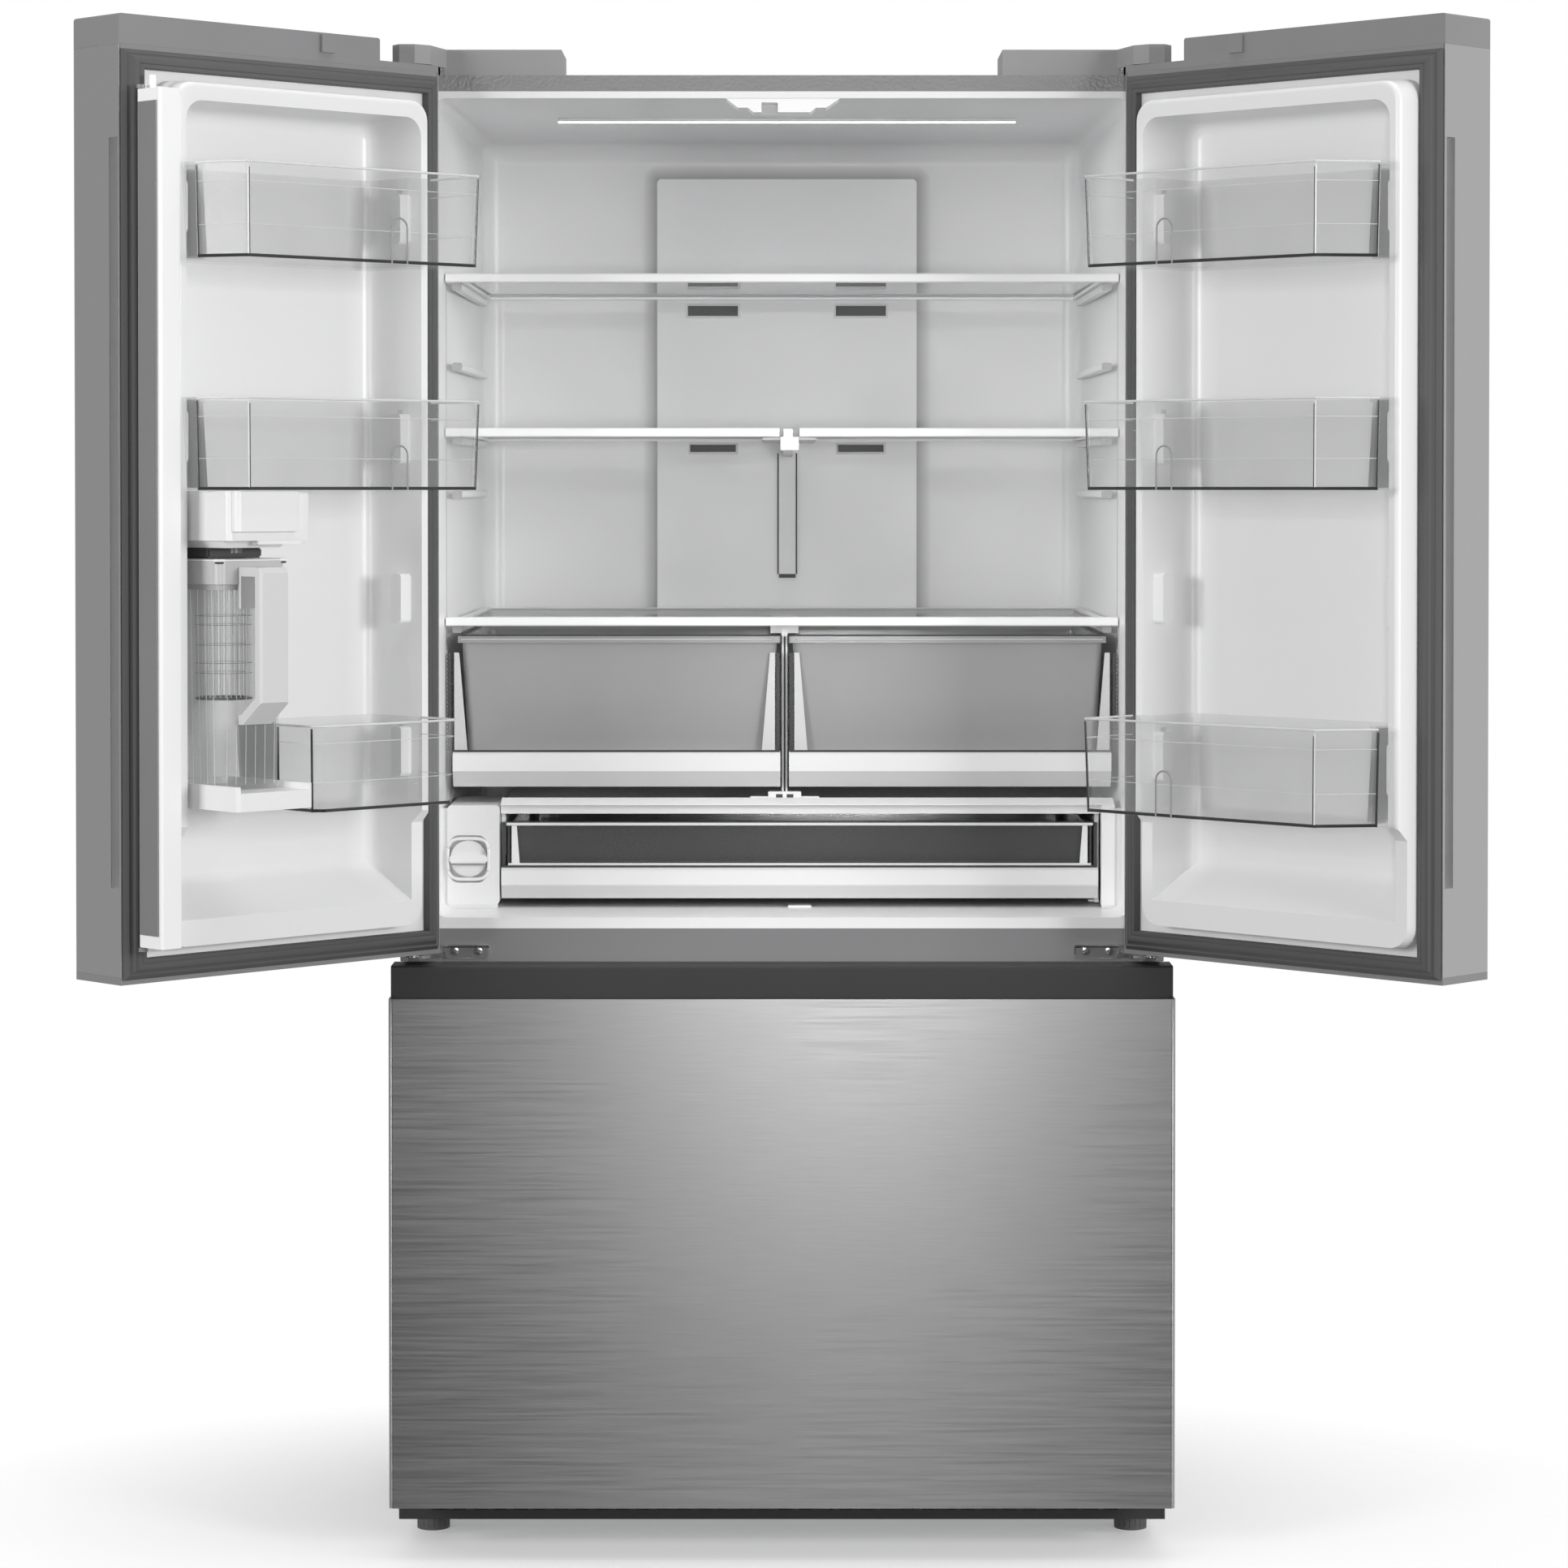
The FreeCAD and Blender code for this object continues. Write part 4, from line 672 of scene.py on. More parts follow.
RIM_SHADOW, FOLD_SHADOW, SHADOW_TOP = BEAD * 0.35, BEAD * 0.4, 0.93
CHANNEL_X, CHANNEL_HALF = 0.115, 0.011  # from the bin's hinge end; half of its width
CHANNEL_SPRING, CHANNEL_SETBACK = 0.38, 0.00248  # share of the height; behind the rim's front


def bin_plans(node, side):
    """Plans of a bin's visible walls at its rim and at its floor, from the hinge side round."""
    low, high = hand_box(node, side)
    if node == NARROW_BIN:
        back, bevel = high.y - NARROW_SIDE, NARROW_BEVEL
        rim = [(low.x, back), (low.x, high.y - bevel), (low.x + bevel, high.y),
               (high.x - bevel, high.y), (high.x, high.y - bevel), (high.x, back)]
        middle = (low.x + high.x) / 2
        return rim, [(x + copysign(BIN_DRAFT, middle - x), y - BIN_DRAFT) for x, y in rim]
    turn = hand_box(side + "_door_skin", side)[1].x - CHAMFER_FROM_EDGE
    return [[(low.x + inset, high.y - HINGE_SIDE), (low.x + inset, high.y - inset),
             (turn - inset, high.y - inset), (high.x - inset, high.y - CHAMFER_DEPTH)]
            for inset in (BEAD, BIN_DRAFT)]


def bin_channel(node, side):
    """Arched channel moulded into the front of a wide bin."""
    low, high = hand_box(node, side)
    middle, front = low.x + CHANNEL_X, high.y - CHANNEL_SETBACK
    spring = low.z + (high.z - low.z) * CHANNEL_SPRING
    arch = [(middle - CHANNEL_HALF * cos(a), front, spring + CHANNEL_HALF * sin(a))
            for a in around(16)[:9]]
    feet = [(middle + hand * CHANNEL_HALF, front, low.z) for hand in (-1, 1)]
    bm = bmesh.new()
    wire(bm, [feet[0], *arch, feet[1]], CHANNEL_BEAD)
    settle(node + "_channel", bm, "clear_plastic", node, "cover_grey", side)


def bin_trim(node, side):
    """Rim, moulding lines, channel and dark edges of one door bin: the light lines are painted highlights, the
    dark edges painted shade.
    """
    low, high = hand_box(node, side)
    rim, floor = bin_plans(node, side)
    wide = node != NARROW_BIN

    def level(share):
        """The walls' plan at a share of the bin's height."""
        z = low.z + (high.z - low.z) * share
        return [(b[0] + (t[0] - b[0]) * share, b[1] + (t[1] - b[1]) * share, z)
                for b, t in zip(floor, rim)]

    bm = bmesh.new()
    # painted highlights: light lines on the rim, the moulding lines and the fold
    wire(bm, [(x, y, high.z - BEAD) for x, y in rim], BEAD)
    for share, beads in MOULDED_LINES:
        wire(bm, level(share), BEAD * beads)
    if wide:
        wire(bm, [level(FOLD_FOOT)[2], level(FOLD_TOP)[2]], FOLD_BEAD)
        bin_channel(node, side)
    settle(node + "_trim", bm, "clear_plastic", node, "edge_highlight", side)

    bm = bmesh.new()
    # painted shade: dark lines at the foot, under the rim, on the corners and beside the fold
    wire(bm, [(x, y, z + FOOT_BEAD) for x, y, z in level(0.0)[1:]], FOOT_BEAD)
    wire(bm, [(x, y, z - BEAD) for x, y, z in level(1.0)[1:]], RIM_SHADOW)
    for corner in (1, -1) if wide else (-1, -2):
        wire(bm, [level(0.0)[corner], level(FOLD_TOP)[corner]], BEAD)
    if wide:
        fold = (level(0.0)[2], level(SHADOW_TOP)[2])
        wire(bm, [(x - BEAD, y + BEAD * 0.5, z) for x, y, z in fold], FOLD_SHADOW)
    settle(node + "_dark_edge", bm, "clear_plastic", node, "bin_shadow", side)


def bins():
    """Trim on every door bin."""
    for part in frame["record"]["subparts"]:
        node = part["node"]
        if node.endswith("_bin") and node != "freezer_bin":
            bin_trim(node, node.split("_")[0])


JUG_SETBACK = 0.001  # of the jug's front, behind its lid's
RIB, RIB_FOOT = 0.0003, 0.006  # radius, and height above the jug's floor
FRONT_RIBS, FRONT_LEAN = 7, (0.0042, 0.0006)  # spaces; depth behind the face, foot and top
SIDE_RIBS, SIDE_LEAN = 8, (0.0036, -0.0002)
BASKET_RADIUS, BASKET_DROP, BASKET_POSTS = 0.03, 0.12, 32
POST_RADIUS, RING_RADIUS, RING_GAP, FLOOR_RING = 0.0006, 0.0003, 0.0008, 0.0016
BASKET_RINGS = (0.029, 0.039, 0.061, 0.081, 0.092)  # below the lid
LID_INSET = 0.001
LID_LINES = (  # name, look, below the lid's top, radius
    ("pitcher_lid_edge", "trim_white", 0.0016, 0.0016),
    ("pitcher_lid_seam", "dark_line", 0.0042, 0.0011),
)


def jug():
    """Ribs on the water jug, its infuser basket, and the two lines round its lid; the ribs and the basket's posts
    are drawn light as painted highlights, its rings dark as painted shade.
    """
    low, high = hand_box("pitcher_body", "left")
    lid_low, lid_high = hand_box("pitcher_lid", "left")
    x0, x1, y0, y1 = low.x, high.x, low.y, lid_high.y - JUG_SETBACK
    foot, top = low.z + RIB_FOOT, lid_low.z
    # painted highlights: the ribs are drawn light
    bm = bmesh.new()
    for i in range(1, FRONT_RIBS):
        x = x0 + (x1 - x0) * i / FRONT_RIBS
        wire(bm, [(x, y1 - lean, z) for lean, z in zip(FRONT_LEAN, (foot, top))], RIB)
    for i in range(1, SIDE_RIBS):
        y = y0 + (y1 - y0) * i / SIDE_RIBS
        wire(bm, [(x1 - lean, y, z) for lean, z in zip(SIDE_LEAN, (foot, top))], RIB)
    settle("pitcher_ribs", bm, "clear_plastic", "pitcher", "edge_highlight", "left")

    def circle(z, radius, count=BASKET_POSTS):
        """Ring of points about the jug's middle."""
        return [((x0 + x1) / 2 + radius * cos(a), (y0 + y1) / 2 + radius * sin(a), z)
                for a in around(count)]

    floor = top - BASKET_DROP
    # painted light: the basket's posts are drawn light, as lit through its slots
    bm = bmesh.new()
    for x, y, _ in circle(floor, BASKET_RADIUS):
        wire(bm, [(x, y, floor), (x, y, top)], POST_RADIUS, sides=6)
    settle("pitcher_infuser", bm, "clear_plastic", "pitcher", "edge_highlight", "left")
    # painted shade: the basket's rings are drawn dark
    bm = bmesh.new()
    for drop in BASKET_RINGS:
        ring = circle(top - drop, BASKET_RADIUS + RING_GAP)
        wire(bm, ring, RING_RADIUS, closed=True, sides=6)
    wire(bm, circle(floor, BASKET_RADIUS), FLOOR_RING, closed=True, sides=6)
    settle("pitcher_infuser_rings", bm, "clear_plastic", "pitcher", "bin_shadow", "left")

    x0, x1 = lid_low.x + LID_INSET, lid_high.x - LID_INSET
    y0, y1 = lid_low.y + LID_INSET, lid_high.y - LID_INSET
    for name, look, drop, radius in LID_LINES:
        z = lid_high.z - drop
        bm = bmesh.new()
        wire(bm, [(x0, y0, z), (x1, y0, z), (x1, y1, z), (x0, y1, z)], radius, closed=True)
        settle(name, bm, "lid_grey", "pitcher", look, "left")


RECESS_LOW = Vector((0.015, 0.011, 0.0006))  # from the lid's corners
RECESS_HIGH = Vector((-0.004, -0.024, NOZZLE_GAP))
CHUTE_DROP = 0.054  # of the plate, below the water housing's top
CHUTE_LOW, CHUTE_HIGH = Vector((-0.003, 0.011, -0.0042)), Vector((0.057, 0.023, 0.0004))
RECESS_EDGE, CHUTE_EDGE = 0.002, 0.001


def dispenser():
    """Painted shade: a dark slab in the recess over the jug; and the bright plate beside it."""
    lid_low, lid_high = hand_box("pitcher_lid", "left")
    bm = bmesh.new()
    slab(bm, Vector((lid_low.x, lid_low.y, lid_high.z)) + RECESS_LOW, lid_high + RECESS_HIGH,
         RECESS_EDGE)
    # painted shade: a dark slab stands for the recess's shadow
    settle("nozzle_recess_shade", bm, "trim_white", "left_door", "dark_line", "left")
    chute = Vector((lid_low.x, lid_high.y, hand_box("dispenser", "left")[1].z - CHUTE_DROP))
    bm = bmesh.new()
    slab(bm, chute + CHUTE_LOW, chute + CHUTE_HIGH, CHUTE_EDGE)
    settle("chute_plate", bm, "trim_white", "left_door", side="left")


# ---- fresh food compartment ----
VENT_SPREAD = 0.098  # of each pair of vents, from the duct panel's middle
VENTS = ((0.695, 0.013, 0.066), (0.734, 0.01, 0.066), (0.515, 0.009, 0.06))  # rise, height, width
VENT_RIM = 0.003
VENT_PROFILE = ((0.0, 0.0), (0.3, -0.0016), (0.8, -0.002), (1.0, -0.0004), (1.0, 0.0))
THROAT_DEPTHS, BAR_DEPTHS = (0.0042, 0.0052), (0.0012, 0.004)  # behind the panel's face
VENT_SPACES, VENT_BAR = 6, 0.0008  # spaces between the bars; half a bar
TRACK_LOW, TRACK_HIGH, TRACK_HALF, TRACK_SHIFT = 0.353, 0.513, 0.011, 0.0005
TRACK_GAP, TRACK_LINE = 0.0012, 0.0009  # from the track to a line's middle; half a line
TRACK_DEPTHS, TRACK_FOOT, TRACK_FOOT_DEPTHS = (-0.004, -0.0001), 0.005, (-0.0044, -0.0001)


def between(face, depths):
    """Two depths, measured from a face."""
    return [face + depth for depth in depths]


def duct_details():
    """Rims and dark throats of the air vents, the throats painted shade, and the lines that frame the shelf track.
    """
    low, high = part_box("duct_panel")
    middle = (low.x + high.x) / 2
    rims, throats = bmesh.new(), bmesh.new()
    for rise, height, width in VENTS:
        for side in (-1, 1):
            x, z = middle + side * VENT_SPREAD, low.z + rise
            a = Vector((x - width / 2 - VENT_RIM, 0, z - VENT_RIM))
            b = Vector((x + width / 2 + VENT_RIM, 0, z + height + VENT_RIM))
            mitred(rims, a, b, (VENT_RIM,) * 4, VENT_PROFILE, low.y)
            # painted shade: a dark slab behind each vent; its bars take the same grey
            post(throats, x, width / 2 + VENT_RIM, between(low.y, THROAT_DEPTHS), (a.z, b.z), EDGE)
            for k in range(1, VENT_SPACES):
                bar = a.x + (b.x - a.x) * k / VENT_SPACES
                post(throats, bar, VENT_BAR, between(low.y, BAR_DEPTHS), (z, z + height), EDGE)
    settle("vent_rims", rims, "liner", "cabinet", "trim_white")
    settle("vent_throats", throats, "liner", "cabinet", "throat_grey")

    bm = bmesh.new()
    z0, z1 = low.z + TRACK_LOW, low.z + TRACK_HIGH
    middle += TRACK_SHIFT
    for side in (-1, 1):
        x = middle + side * (TRACK_HALF + TRACK_GAP)
        post(bm, x, TRACK_LINE, between(low.y, TRACK_DEPTHS), (z0, z1))
    post(bm, middle, TRACK_HALF, between(low.y, TRACK_FOOT_DEPTHS), (z0 - TRACK_FOOT, z0))
    settle("track_edges", bm, "trim_white", "cabinet", "dark_line")


def strip(bm, foot, inward, widths, levels, front):
    """Upright strip with one upright edge, at foot; widths and levels are foot, then head."""
    outline = [(foot, levels[0]), (foot + inward * widths[0], levels[0]),
               (foot + inward * widths[1], levels[1]), (foot, levels[1])]
    prism(bm, [[(x, y, z) for x, z in outline] for y in (front, front + STRIP_THICK)])


BAR_SEAM = 0.0005  # strips start this far below a pull bar's top
STRIP_FACE, STRIP_THICK = 0.0075, 0.002  # behind the crisper's front
STRIP_WIDTHS, STRIP_DROP = (0.016, 0.006), 0.02  # foot and head; below the top
STRIP_INSET = {"divider": 0.0065, "wall": 0.0015}
GUIDE_INSET = {"divider": 0.003, "wall": -0.0045}
GUIDE_HALF, GUIDE_THICK, GUIDE_EDGE = 0.002, 0.003, 0.0003
TEETH, TOOTH_HALF, TOOTH_RISE, TOOTH_DEPTHS = 24, 0.0028, 0.0012, (-0.0006, 0.002)
# the rim line is a painted highlight; the bar line is painted shade in the gap over the pull bar
# lines of a crisper: (inset from its ends, depth behind its front, radius)
BAR_LINE, TOP_LINE = (0.001, 0.0035, 0.0012), (0.01, 0.003, 0.00096)
RIM_HIGHLIGHT = (0.01, 0.0032, 0.0009)
LINE_RISE, RIM_DROP = 0.0012, 0.004  # above the bar and the top, below the top


def crisper_details():
    """Tapered end strips, toothed guides, rim line and dark lines of each crisper; the rim line is a painted
    highlight, and the dark line over the pull bar is painted shade in its gap.
    """
    for side in SIDES:
        node = side + "_crisper"
        low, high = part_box(node)
        front = low.y + STRIP_FACE
        bar_top, strip_top = low.z + BAR_HEIGHT - BAR_SEAM, high.z - STRIP_DROP
        pitch = (strip_top - bar_top) / TEETH
        strips, guides, rim = bmesh.new(), bmesh.new(), bmesh.new()
        for edge, inward in ((low.x, 1), (high.x, -1)):
            end = "divider" if (inward > 0) == (side == "right") else "wall"
            strip(strips, edge + inward * STRIP_INSET[end], inward, STRIP_WIDTHS,
                  (bar_top, strip_top), front)
            guide = edge + inward * GUIDE_INSET[end]
            post(guides, guide, GUIDE_HALF, (front, front + GUIDE_THICK), (bar_top, strip_top),
                 GUIDE_EDGE)
            for k in range(TEETH):
                z = bar_top + pitch * (k + 0.5)
                post(guides, guide, TOOTH_HALF, between(front, TOOTH_DEPTHS),
                     (z - TOOTH_RISE, z + TOOTH_RISE))
        # painted shade in the gap over the pull bar
        front_line(guides, (low, high), bar_top + LINE_RISE, BAR_LINE)
        front_line(guides, (low, high), high.z + LINE_RISE, TOP_LINE)
        # painted highlight along the rim
        front_line(rim, (low, high), high.z - RIM_DROP, RIM_HIGHLIGHT)
        settle(side + "_crisper_strips", strips, "smoked_plastic", node, "strip_grey")
        settle(side + "_crisper_rim_highlight", rim, "smoked_plastic", node, "lid_grey")
        settle(side + "_crisper_guides", guides, "smoked_plastic", node, "dark_line")


DIVIDER_SETBACK = 0.02  # behind the crispers' front
FIN_OFFSETS, FIN_HALF = (-0.0022, 0.0022), 0.001
FIN_DEPTHS, FIN_ENDS = (0.0, 0.012), (0.002, -0.012)  # ends: from the frame's
SLOT_X, SLOT_HALF, SLOT_DEPTHS, SLOT_ENDS = -0.00005, 0.00105, (0.002, 0.01), (0.004, -0.014)
CLIP_STEPS = (  # half width, depths, rise
    (0.042, (-0.004, 0.012), 0.007),
    (0.02, (-0.006, 0.012), 0.013),
)
CLIP_GROOVES, GROOVE_HALF = (-0.0065, 0.0065), 0.004
GROOVE_DEPTHS, GROOVE_RISE = (-0.0066, 0.0), (0.003, 0.01)
COVER_GAP = 0.0002  # pieces on the deli drawer's cover stand this far above it
RAMP_INSET, RAMP_LIP, RAMP_REACH, RAMP_RISE = 0.001, 0.0012, 0.028, 0.007


def divider():
    """Front of the divider between the crispers, with its clip on the deli drawer's cover; its slot and grooves
    are dark slabs of painted shade.
    """
    low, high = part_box("crisper_frame")
    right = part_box("right_crisper")[0]
    middle, front = (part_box("left_crisper")[1].x + right.x) / 2, right.y + DIVIDER_SETBACK
    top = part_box("deli_cover")[1].z + COVER_GAP
    light, dark = bmesh.new(), bmesh.new()
    for offset in FIN_OFFSETS:
        post(light, middle + offset, FIN_HALF, between(front, FIN_DEPTHS),
             (low.z + FIN_ENDS[0], high.z + FIN_ENDS[1]), EDGE)
    # painted shade: a dark slab in the slot between the fins
    post(dark, middle + SLOT_X, SLOT_HALF, between(front, SLOT_DEPTHS),
         (low.z + SLOT_ENDS[0], high.z + SLOT_ENDS[1]))
    for half, depths, rise in CLIP_STEPS:
        post(light, middle, half, between(front, depths), (top, top + rise), EDGE)
    # painted shade: dark slabs in the clip's grooves
    for offset in CLIP_GROOVES:
        post(dark, middle + offset, GROOVE_HALF, between(front, GROOVE_DEPTHS),
             between(top, GROOVE_RISE))
    settle("crisper_divider_front", light, "trim_white", "cabinet")
    settle("crisper_divider_grooves", dark, "trim_white", "cabinet", "dark_line")


def cover_ramp():
    """Raised front of the deli drawer's cover."""
    low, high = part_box("deli_cover")
    top, front, back = high.z + COVER_GAP, low.y + RAMP_INSET, low.y + RAMP_REACH
    slope = ((front, top), (front, top + RAMP_LIP), (back, top + RAMP_RISE), (back, top))
    bm = bmesh.new()
    prism(bm, [[(x, y, z) for y, z in slope] for x in (low.x + RAMP_INSET, high.x - RAMP_INSET)])
    settle("deli_cover_ramp", bm, "trim_white", "cabinet")


DELI_FACE, DELI_RIM_DROP = 0.0085, 0.003
# painted highlights: the rim line and the bright line over the pull bar
# lines of the deli drawer: (inset from its ends, depth behind its front, radius)
DELI_RIM, DELI_HIGHLIGHT = (0.006, 0.0065, 0.0018), (0.008, 0.006, 0.0016)
DELI_DARK = (0.001, 0.004, 0.0013)
HIGHLIGHT_RISE, DARK_RISE = 0.0035, 0.0012  # above the pull bar
DELI_STRIP_INSET, DELI_STRIP_WIDTHS = 0.012, (0.01, 0.006)
BRACKETS = ((0.0025, 0.002), (0.0085, 0.0012))  # inset from the drawer's end, half width
BRACKET_DEPTHS, BRACKET_RISE = (0.001, 0.004), 0.002
STOP_HALF, STOP_DEPTHS, STOP_DROPS = 0.014, (0.004, 0.03), (-0.004, -0.0015)


def deli_details():
    """Bright lines as painted highlights, end strips and dark brackets of the wide drawer, and its centre stop."""
    low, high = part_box("deli_drawer")
    front = low.y + DELI_FACE
    bar_top, rim = low.z + DELI_BAR_HEIGHT - BAR_SEAM, high.z - DELI_RIM_DROP
    white, dark = bmesh.new(), bmesh.new()
    # painted highlights along the rim and over the pull bar
    front_line(white, (low, high), rim, DELI_RIM)
    front_line(white, (low, high), bar_top + HIGHLIGHT_RISE, DELI_HIGHLIGHT)
    front_line(dark, (low, high), bar_top + DARK_RISE, DELI_DARK)
    for edge, inward in ((low.x, 1), (high.x, -1)):
        strip(white, edge + inward * DELI_STRIP_INSET, inward, DELI_STRIP_WIDTHS,
              (bar_top, rim), front)
        for inset, half in BRACKETS:
            post(dark, edge + inward * inset, half, between(front, BRACKET_DEPTHS),
                 (bar_top, rim + BRACKET_RISE))
    settle("deli_drawer_strips_and_highlights", white, "smoked_plastic", "deli_drawer", "trim_white")
    settle("deli_drawer_brackets", dark, "smoked_plastic", "deli_drawer", "dark_line")

    bm = bmesh.new()
    post(bm, (low.x + high.x) / 2, STOP_HALF, between(low.y, STOP_DEPTHS),
         between(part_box("deli_cover")[0].z, STOP_DROPS), EDGE)
    settle("deli_drawer_stop", bm, "liner", "cabinet")


KNOB_RING, KNOB_WIRE, KNOB_POINTS = 0.0245, 0.002, 48  # a rounded square
RING_PROUD = 0.0004
GRIP_LOW, GRIP_HIGH = Vector((-0.001, -0.003, -0.005)), Vector((0.001, 0.004, 0.005))
GRIP_EDGE = 0.002
DARK_LOW, DARK_HIGH = Vector((0.001, -0.0008, -0.0072)), Vector((-0.001, 0.003, -0.0048))
FILLER_HALF, FILLER_FLOOR = 0.4085, 0.7375  # reach of the filler strips, just inside the liner
FILLER_FACE, FILLER_THICK, FILLER_DROP, FILLER_LAP = 0.003, 0.01, 0.004, 0.001
FILLER_SHORT, FILLER_FOOT = 0.002, 0.016  # low strips: short of the housing, under the cover


def housing_details():
    """Ring and grip of the filter knob, and the filler strips beside the deli drawer."""
    low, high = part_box("filter_knob")
    housing_low, housing_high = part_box("filter_housing")
    middle = (low + high) / 2
    ring = [[copysign(KNOB_RING * abs(part) ** 0.5, part) for part in (cos(a), sin(a))]
            for a in around(KNOB_POINTS)]
    bm = bmesh.new()
    wire(bm, [(middle.x + x, housing_low.y + RING_PROUD, middle.z + z) for x, z in ring],
         KNOB_WIRE, closed=True)
    settle("filter_knob_ring", bm, "liner", "cabinet", "knob_white")
    left, right = Vector((low.x, low.y, middle.z)), Vector((high.x, low.y, middle.z))
    bm = bmesh.new()
    slab(bm, left + GRIP_LOW, right + GRIP_HIGH, GRIP_EDGE)
    settle("filter_knob_grip", bm, "knob_white", "filter_knob")
    bm = bmesh.new()
    slab(bm, left + DARK_LOW, right + DARK_HIGH)
    settle("filter_knob_shadow", bm, "knob_white", "filter_knob", "cover_grey")

    cover_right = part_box("deli_cover")[1].x
    face = housing_low.y + FILLER_FACE
    tall, short = housing_high.z - FILLER_DROP, housing_low.z + FILLER_DROP
    bm = bmesh.new()
    for x0, x1, top in ((-FILLER_HALF, housing_low.x + FILLER_LAP, tall),
                        (housing_low.x, housing_high.x - FILLER_SHORT, short),
                        (cover_right - FILLER_LAP, FILLER_HALF, tall),
                        (cover_right - FILLER_FOOT, cover_right, short)):
        slab(bm, (x0, face, FILLER_FLOOR), (x1, face + FILLER_THICK, top))
    settle("deli_fillers", bm, "liner", "cabinet")


# ---- outside ----
BRACKET_SCREWS = (0.05, 0.078)  # inwards from the door's pin
SCREW_RISE, SCREW_PROUD = 0.009, 0.0036
LIP_SPAN, LIP_RISE, LIP_PROUD, LIP_BEAD = (0.038, 0.09), 0.0146, 0.0044, 0.0018
PLATE_SPAN, PLATE_RISE, PLATE_DEPTHS = (0.04, 0.088), (0.0008, 0.0136), (-0.0036, -0.0028)
HOLE_RISE, HOLE_PROUD = 0.009, 0.0062
HOLE_PROFILE = ((0.0022, -0.001), (0.0022, 0.0003), (0.0018, 0.0004))
SUNK = 0.0001  # screw heads start this far inside the sheet
BACK_ROWS, BACK_COLUMNS, BACK_MARGIN, BACK_END, BACK_FACE = 6, 4, 0.014, 0.03, 0.0016
COVER_MARGIN_X, COVER_MARGIN_Z = 0.012, 0.01


def brackets():
    """Screws, lips and dark plates of the lower door brackets."""
    rail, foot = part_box("mid_rail")[0].y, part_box("door_hinges")[0].z
    pin_x = abs(JOINTS["left_door_hinge"]["pos_m"][0])
    bright, dark = bmesh.new(), bmesh.new()
    for side in (-1, 1):
        screws = [side * (pin_x - offset) for offset in BRACKET_SCREWS]
        for x in screws:
            screw_head(bright, (x, rail - SCREW_PROUD, foot + SCREW_RISE), (0, -1, 0))
        lip = [(side * (pin_x - offset), rail - LIP_PROUD, foot + LIP_RISE) for offset in LIP_SPAN]
        wire(bright, lip, LIP_BEAD)
        ends = sorted(side * (pin_x - offset) for offset in PLATE_SPAN)
        post(dark, sum(ends) / 2, (ends[1] - ends[0]) / 2, between(rail, PLATE_DEPTHS),
             between(foot, PLATE_RISE))
        for x in screws:
            turned(dark, (x, rail - HOLE_PROUD, foot + HOLE_RISE), (0, -1, 0), HOLE_PROFILE)
    settle("bracket_screws", bright, "zinc_steel", "cabinet")
    settle("bracket_plates", dark, "zinc_steel", "cabinet", "throat_grey")


def rear_screws():
    """Screws of the rear panel and of the compressor cover."""
    low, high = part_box("cabinet_back")
    width, height = high.x - low.x, high.z - low.z - 2 * BACK_END
    rear = [(x, low.z + BACK_END + height * i / (BACK_ROWS - 1)) for i in range(BACK_ROWS)
            for x in (low.x + BACK_MARGIN, high.x - BACK_MARGIN)]
    rear += [(low.x + width * i / BACK_COLUMNS, high.z - BACK_MARGIN)
             for i in range(1, BACK_COLUMNS)]
    face = high.y - BACK_FACE
    low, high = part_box("compressor_cover")
    cover = [(x, z) for x in (low.x + COVER_MARGIN_X, (low.x + high.x) / 2, high.x - COVER_MARGIN_X)
             for z in (low.z + COVER_MARGIN_Z, high.z - COVER_MARGIN_Z)]
    for name, places, y in (("rear_panel_screws", rear, face), ("cover_screws", cover, high.y)):
        bm = bmesh.new()
        for x, z in places:
            screw_head(bm, (x, y - SUNK, z), (0, 1, 0))
        settle(name, bm, "zinc_steel", "cabinet")


# ---- the studio ----
FLOOR_RADIUS, FLOOR_FADE = 2.0, (0.3, 0.65)
FLOOR_IN_MIRROR = 0.15  # how much of the floor the steel mirrors


def add_floor():
    """Pale round floor that fades out into the white of the studio."""
    mesh = bpy.data.meshes.new("floor")
    bm = bmesh.new()
    bmesh.ops.create_circle(bm, cap_ends=True, segments=96, radius=FLOOR_RADIUS)
    bm.to_mesh(mesh)
    bm.free()
    floor = show("floor", mesh)
    look = Look("floor", (0.93, 0.93, 0.93), 0.7, Emission_Color=FULL_WHITE, Emission_Strength=0.2)
    look.tone(look.noise(scale=3.0), amount=0.005)
    look.set(look.place, {"Scale": (0.6, 1.0, 1.0)})
    fade = look.fade(look.vector("LENGTH", look.place.outputs["Vector"]), *FLOOR_FADE)
    dim = look.node("Math", {0: FLOOR_IN_MIRROR - 1.0, 2: 1.0}, operation="MULTIPLY_ADD")
    look.link(look.node("LightPath").outputs["Is Glossy Ray"], dim.inputs[1])
    shown = look.math("MULTIPLY", fade, dim.outputs["Value"])
    look.link(shown, look.shader.inputs["Alpha"])
    mesh.materials.append(look.material)


def add_area(name, place, aim, width, height, power):
    """Rectangular lamp that looks from its place to its aim."""
    data = bpy.data.lights.new(name, "AREA")
    data.shape = "RECTANGLE"
    data.size, data.size_y, data.energy = width, height, power
    lamp = show(name, data)
    lamp.location = place
    lamp.rotation_euler = (Vector(aim) - Vector(place)).to_track_quat("-Z", "Y").to_euler()


MIRRORED_ACROSS = {"From Min": -1.0, "From Max": 1.0, "To Min": 0.42, "To Max": 0.7}
MIRRORED_ALONG = {"From Min": -0.75, "From Max": -0.1, "To Min": 0.08, "To Max": 1.0}


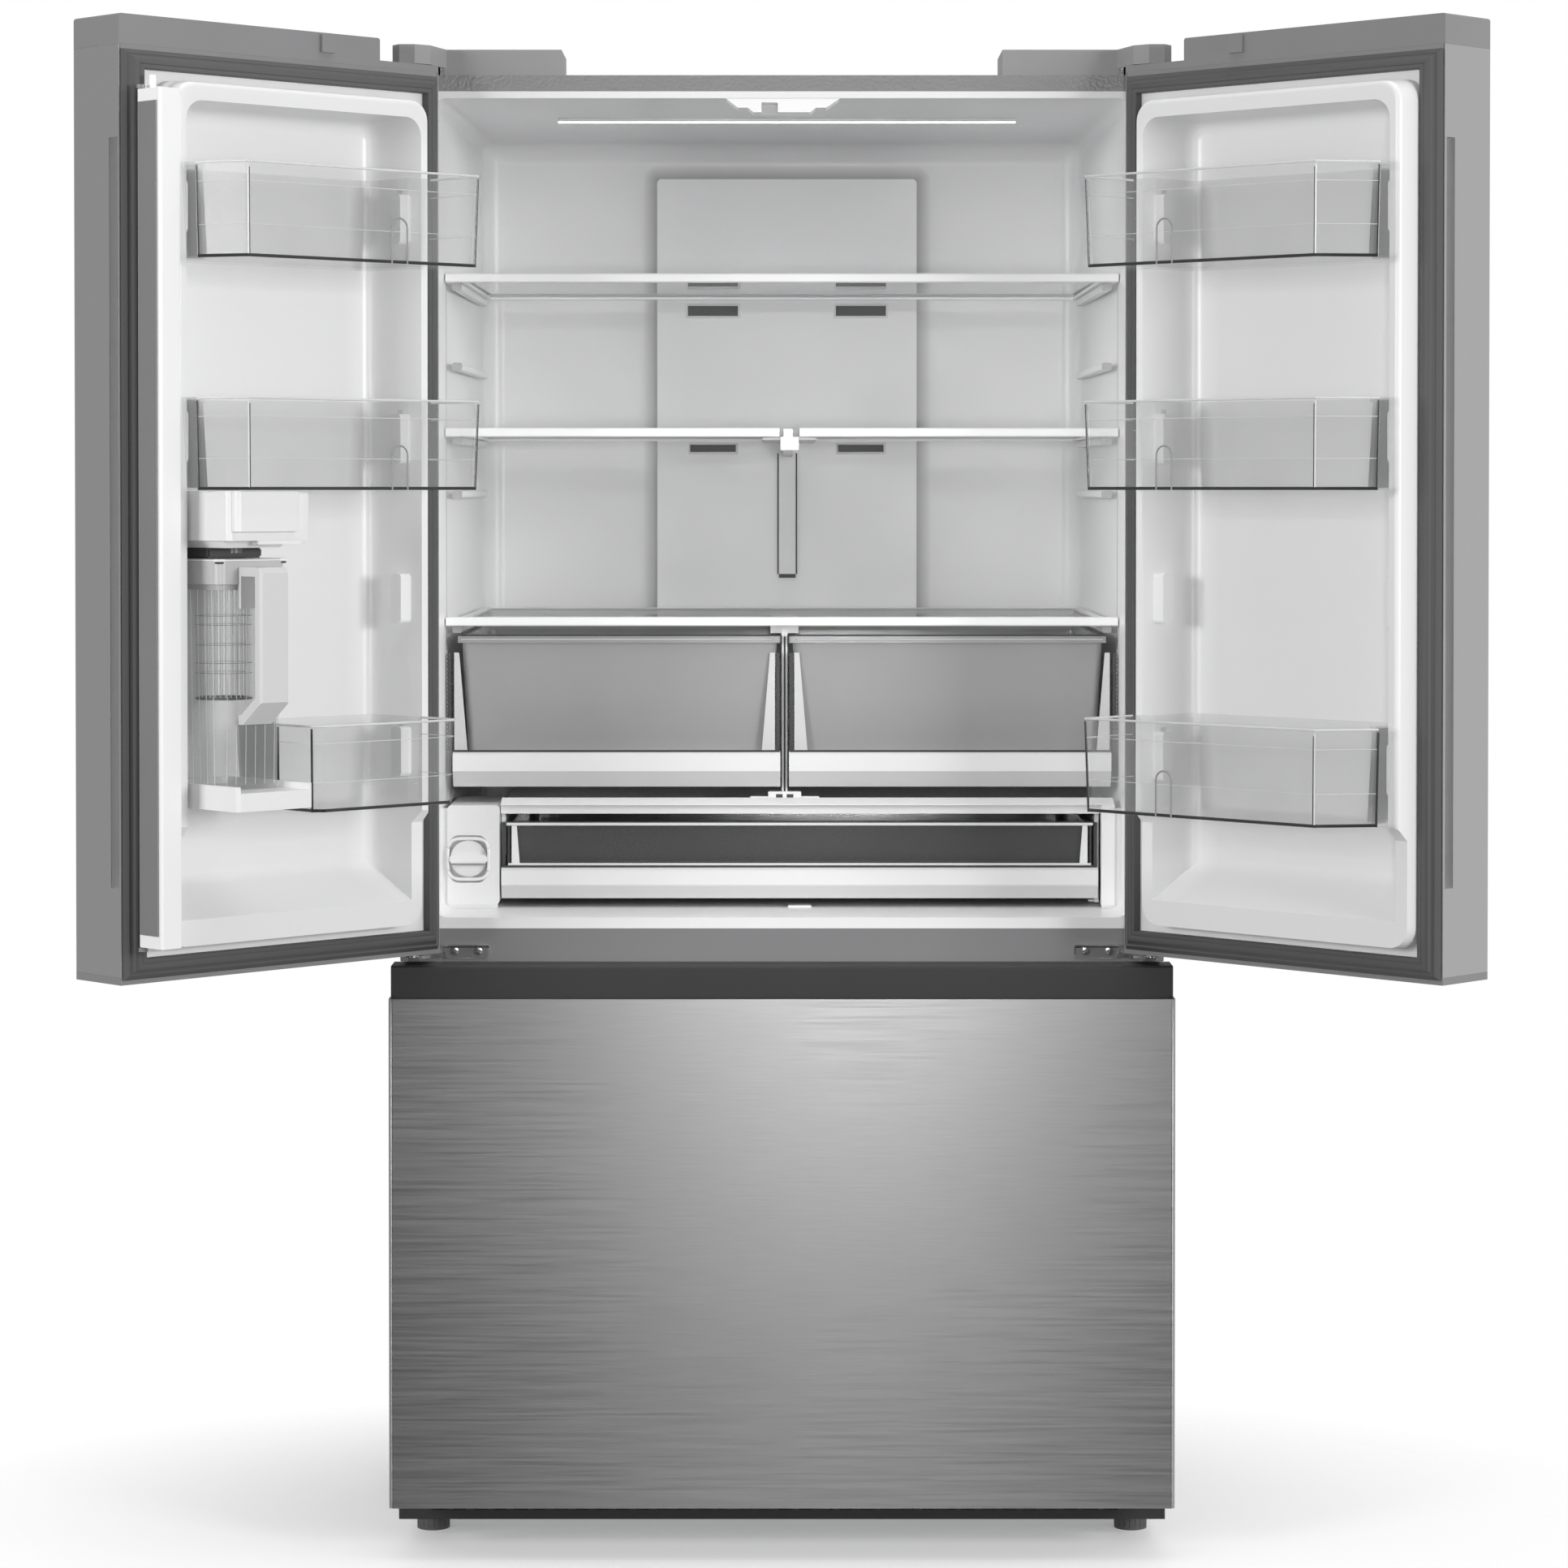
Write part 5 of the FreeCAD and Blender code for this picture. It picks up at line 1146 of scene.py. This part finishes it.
def add_world():
    """White backdrop.  What the object mirrors is dimmer: darkest in front, brighter on the right."""
    world = bpy.data.worlds.new("studio")
    bpy.context.scene.world = world
    tree = Tree(world)
    backdrop = tree.tree.nodes["Background"]
    tree.set(backdrop, {"Color": FULL_WHITE})
    room = tree.node("Background", {"Color": FULL_WHITE})
    direction = tree.node("SeparateXYZ")
    tree.link(tree.node("TexCoord").outputs["Generated"], direction.inputs["Vector"])
    reflected = [tree.node("MapRange", limits) for limits in (MIRRORED_ACROSS, MIRRORED_ALONG)]
    strength = tree.node("Math", operation="MULTIPLY")
    for axis, part in enumerate(reflected):
        tree.link(direction.outputs[axis], part.inputs["Value"])
        tree.link(part.outputs["Result"], strength.inputs[axis])
    tree.link(strength.outputs["Value"], room.inputs["Strength"])
    mix = tree.node("MixShader")
    tree.link(tree.node("LightPath").outputs["Is Camera Ray"], mix.inputs["Fac"])
    tree.link(room.outputs["Background"], mix.inputs[1])
    tree.link(backdrop.outputs["Background"], mix.inputs[2])
    tree.link(mix.outputs["Shader"], tree.tree.nodes["World Output"].inputs["Surface"])


LAMPS = (  # name, place, aim, width, height, watts
    ("key", (0.15, -5.2, 1.25), (0.0, 0.0, 0.9), 0.35, 0.35, 36.0),
    ("side_left", (-3.5, -3.4, 1.75), (0.0, 0.0, 1.2), 1.4, 1.1, 104.0),
    ("side_right", (3.5, -3.4, 1.75), (0.0, 0.0, 1.2), 1.4, 1.1, 120.0),
    ("over", (0.3, -0.6, 4.4), (0.0, 0.0, 0.8), 3.0, 2.0, 40.0),
    ("inner", (0.0, FRONT_Y - 0.02, 1.2), (0.0, 0.3, 1.15), 0.7, 0.5, 0.48),
)
LENS_DROP, LENS_WATTS = 0.006, 0.25  # lamp below the lens in the compartment's roof


def add_lights():
    """Studio lamps and the compartment's own lamp."""
    for lamp in LAMPS:
        add_area(*lamp)
    low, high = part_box("light_lens")
    middle = (low + high) / 2
    add_area("lamp", middle - Vector((0, 0, LENS_DROP)), middle - Vector((0, 0, 1)),
             high.x - low.x, high.y - low.y, LENS_WATTS)


def add_camera():
    """Straight on, at chest height, far back."""
    data = bpy.data.cameras.new("camera")
    data.sensor_width = 36.0
    data.lens = 95.08
    data.shift_x = 0.0013
    data.shift_y = -0.1435
    camera = show("camera", data)
    camera.location = (0.0, FRONT_Y - 4.8728, 1.2447)
    camera.rotation_euler = (radians(89.0), 0.0, 0.0)
    bpy.context.scene.camera = camera


paint_frame()
gaskets()
bins()
jug()
dispenser()
duct_details()
crisper_details()
divider()
cover_ramp()
deli_details()
housing_details()
brackets()
rear_screws()
add_floor()
add_world()
add_lights()
add_camera()
bpy.context.scene.view_settings.view_transform = "Standard"
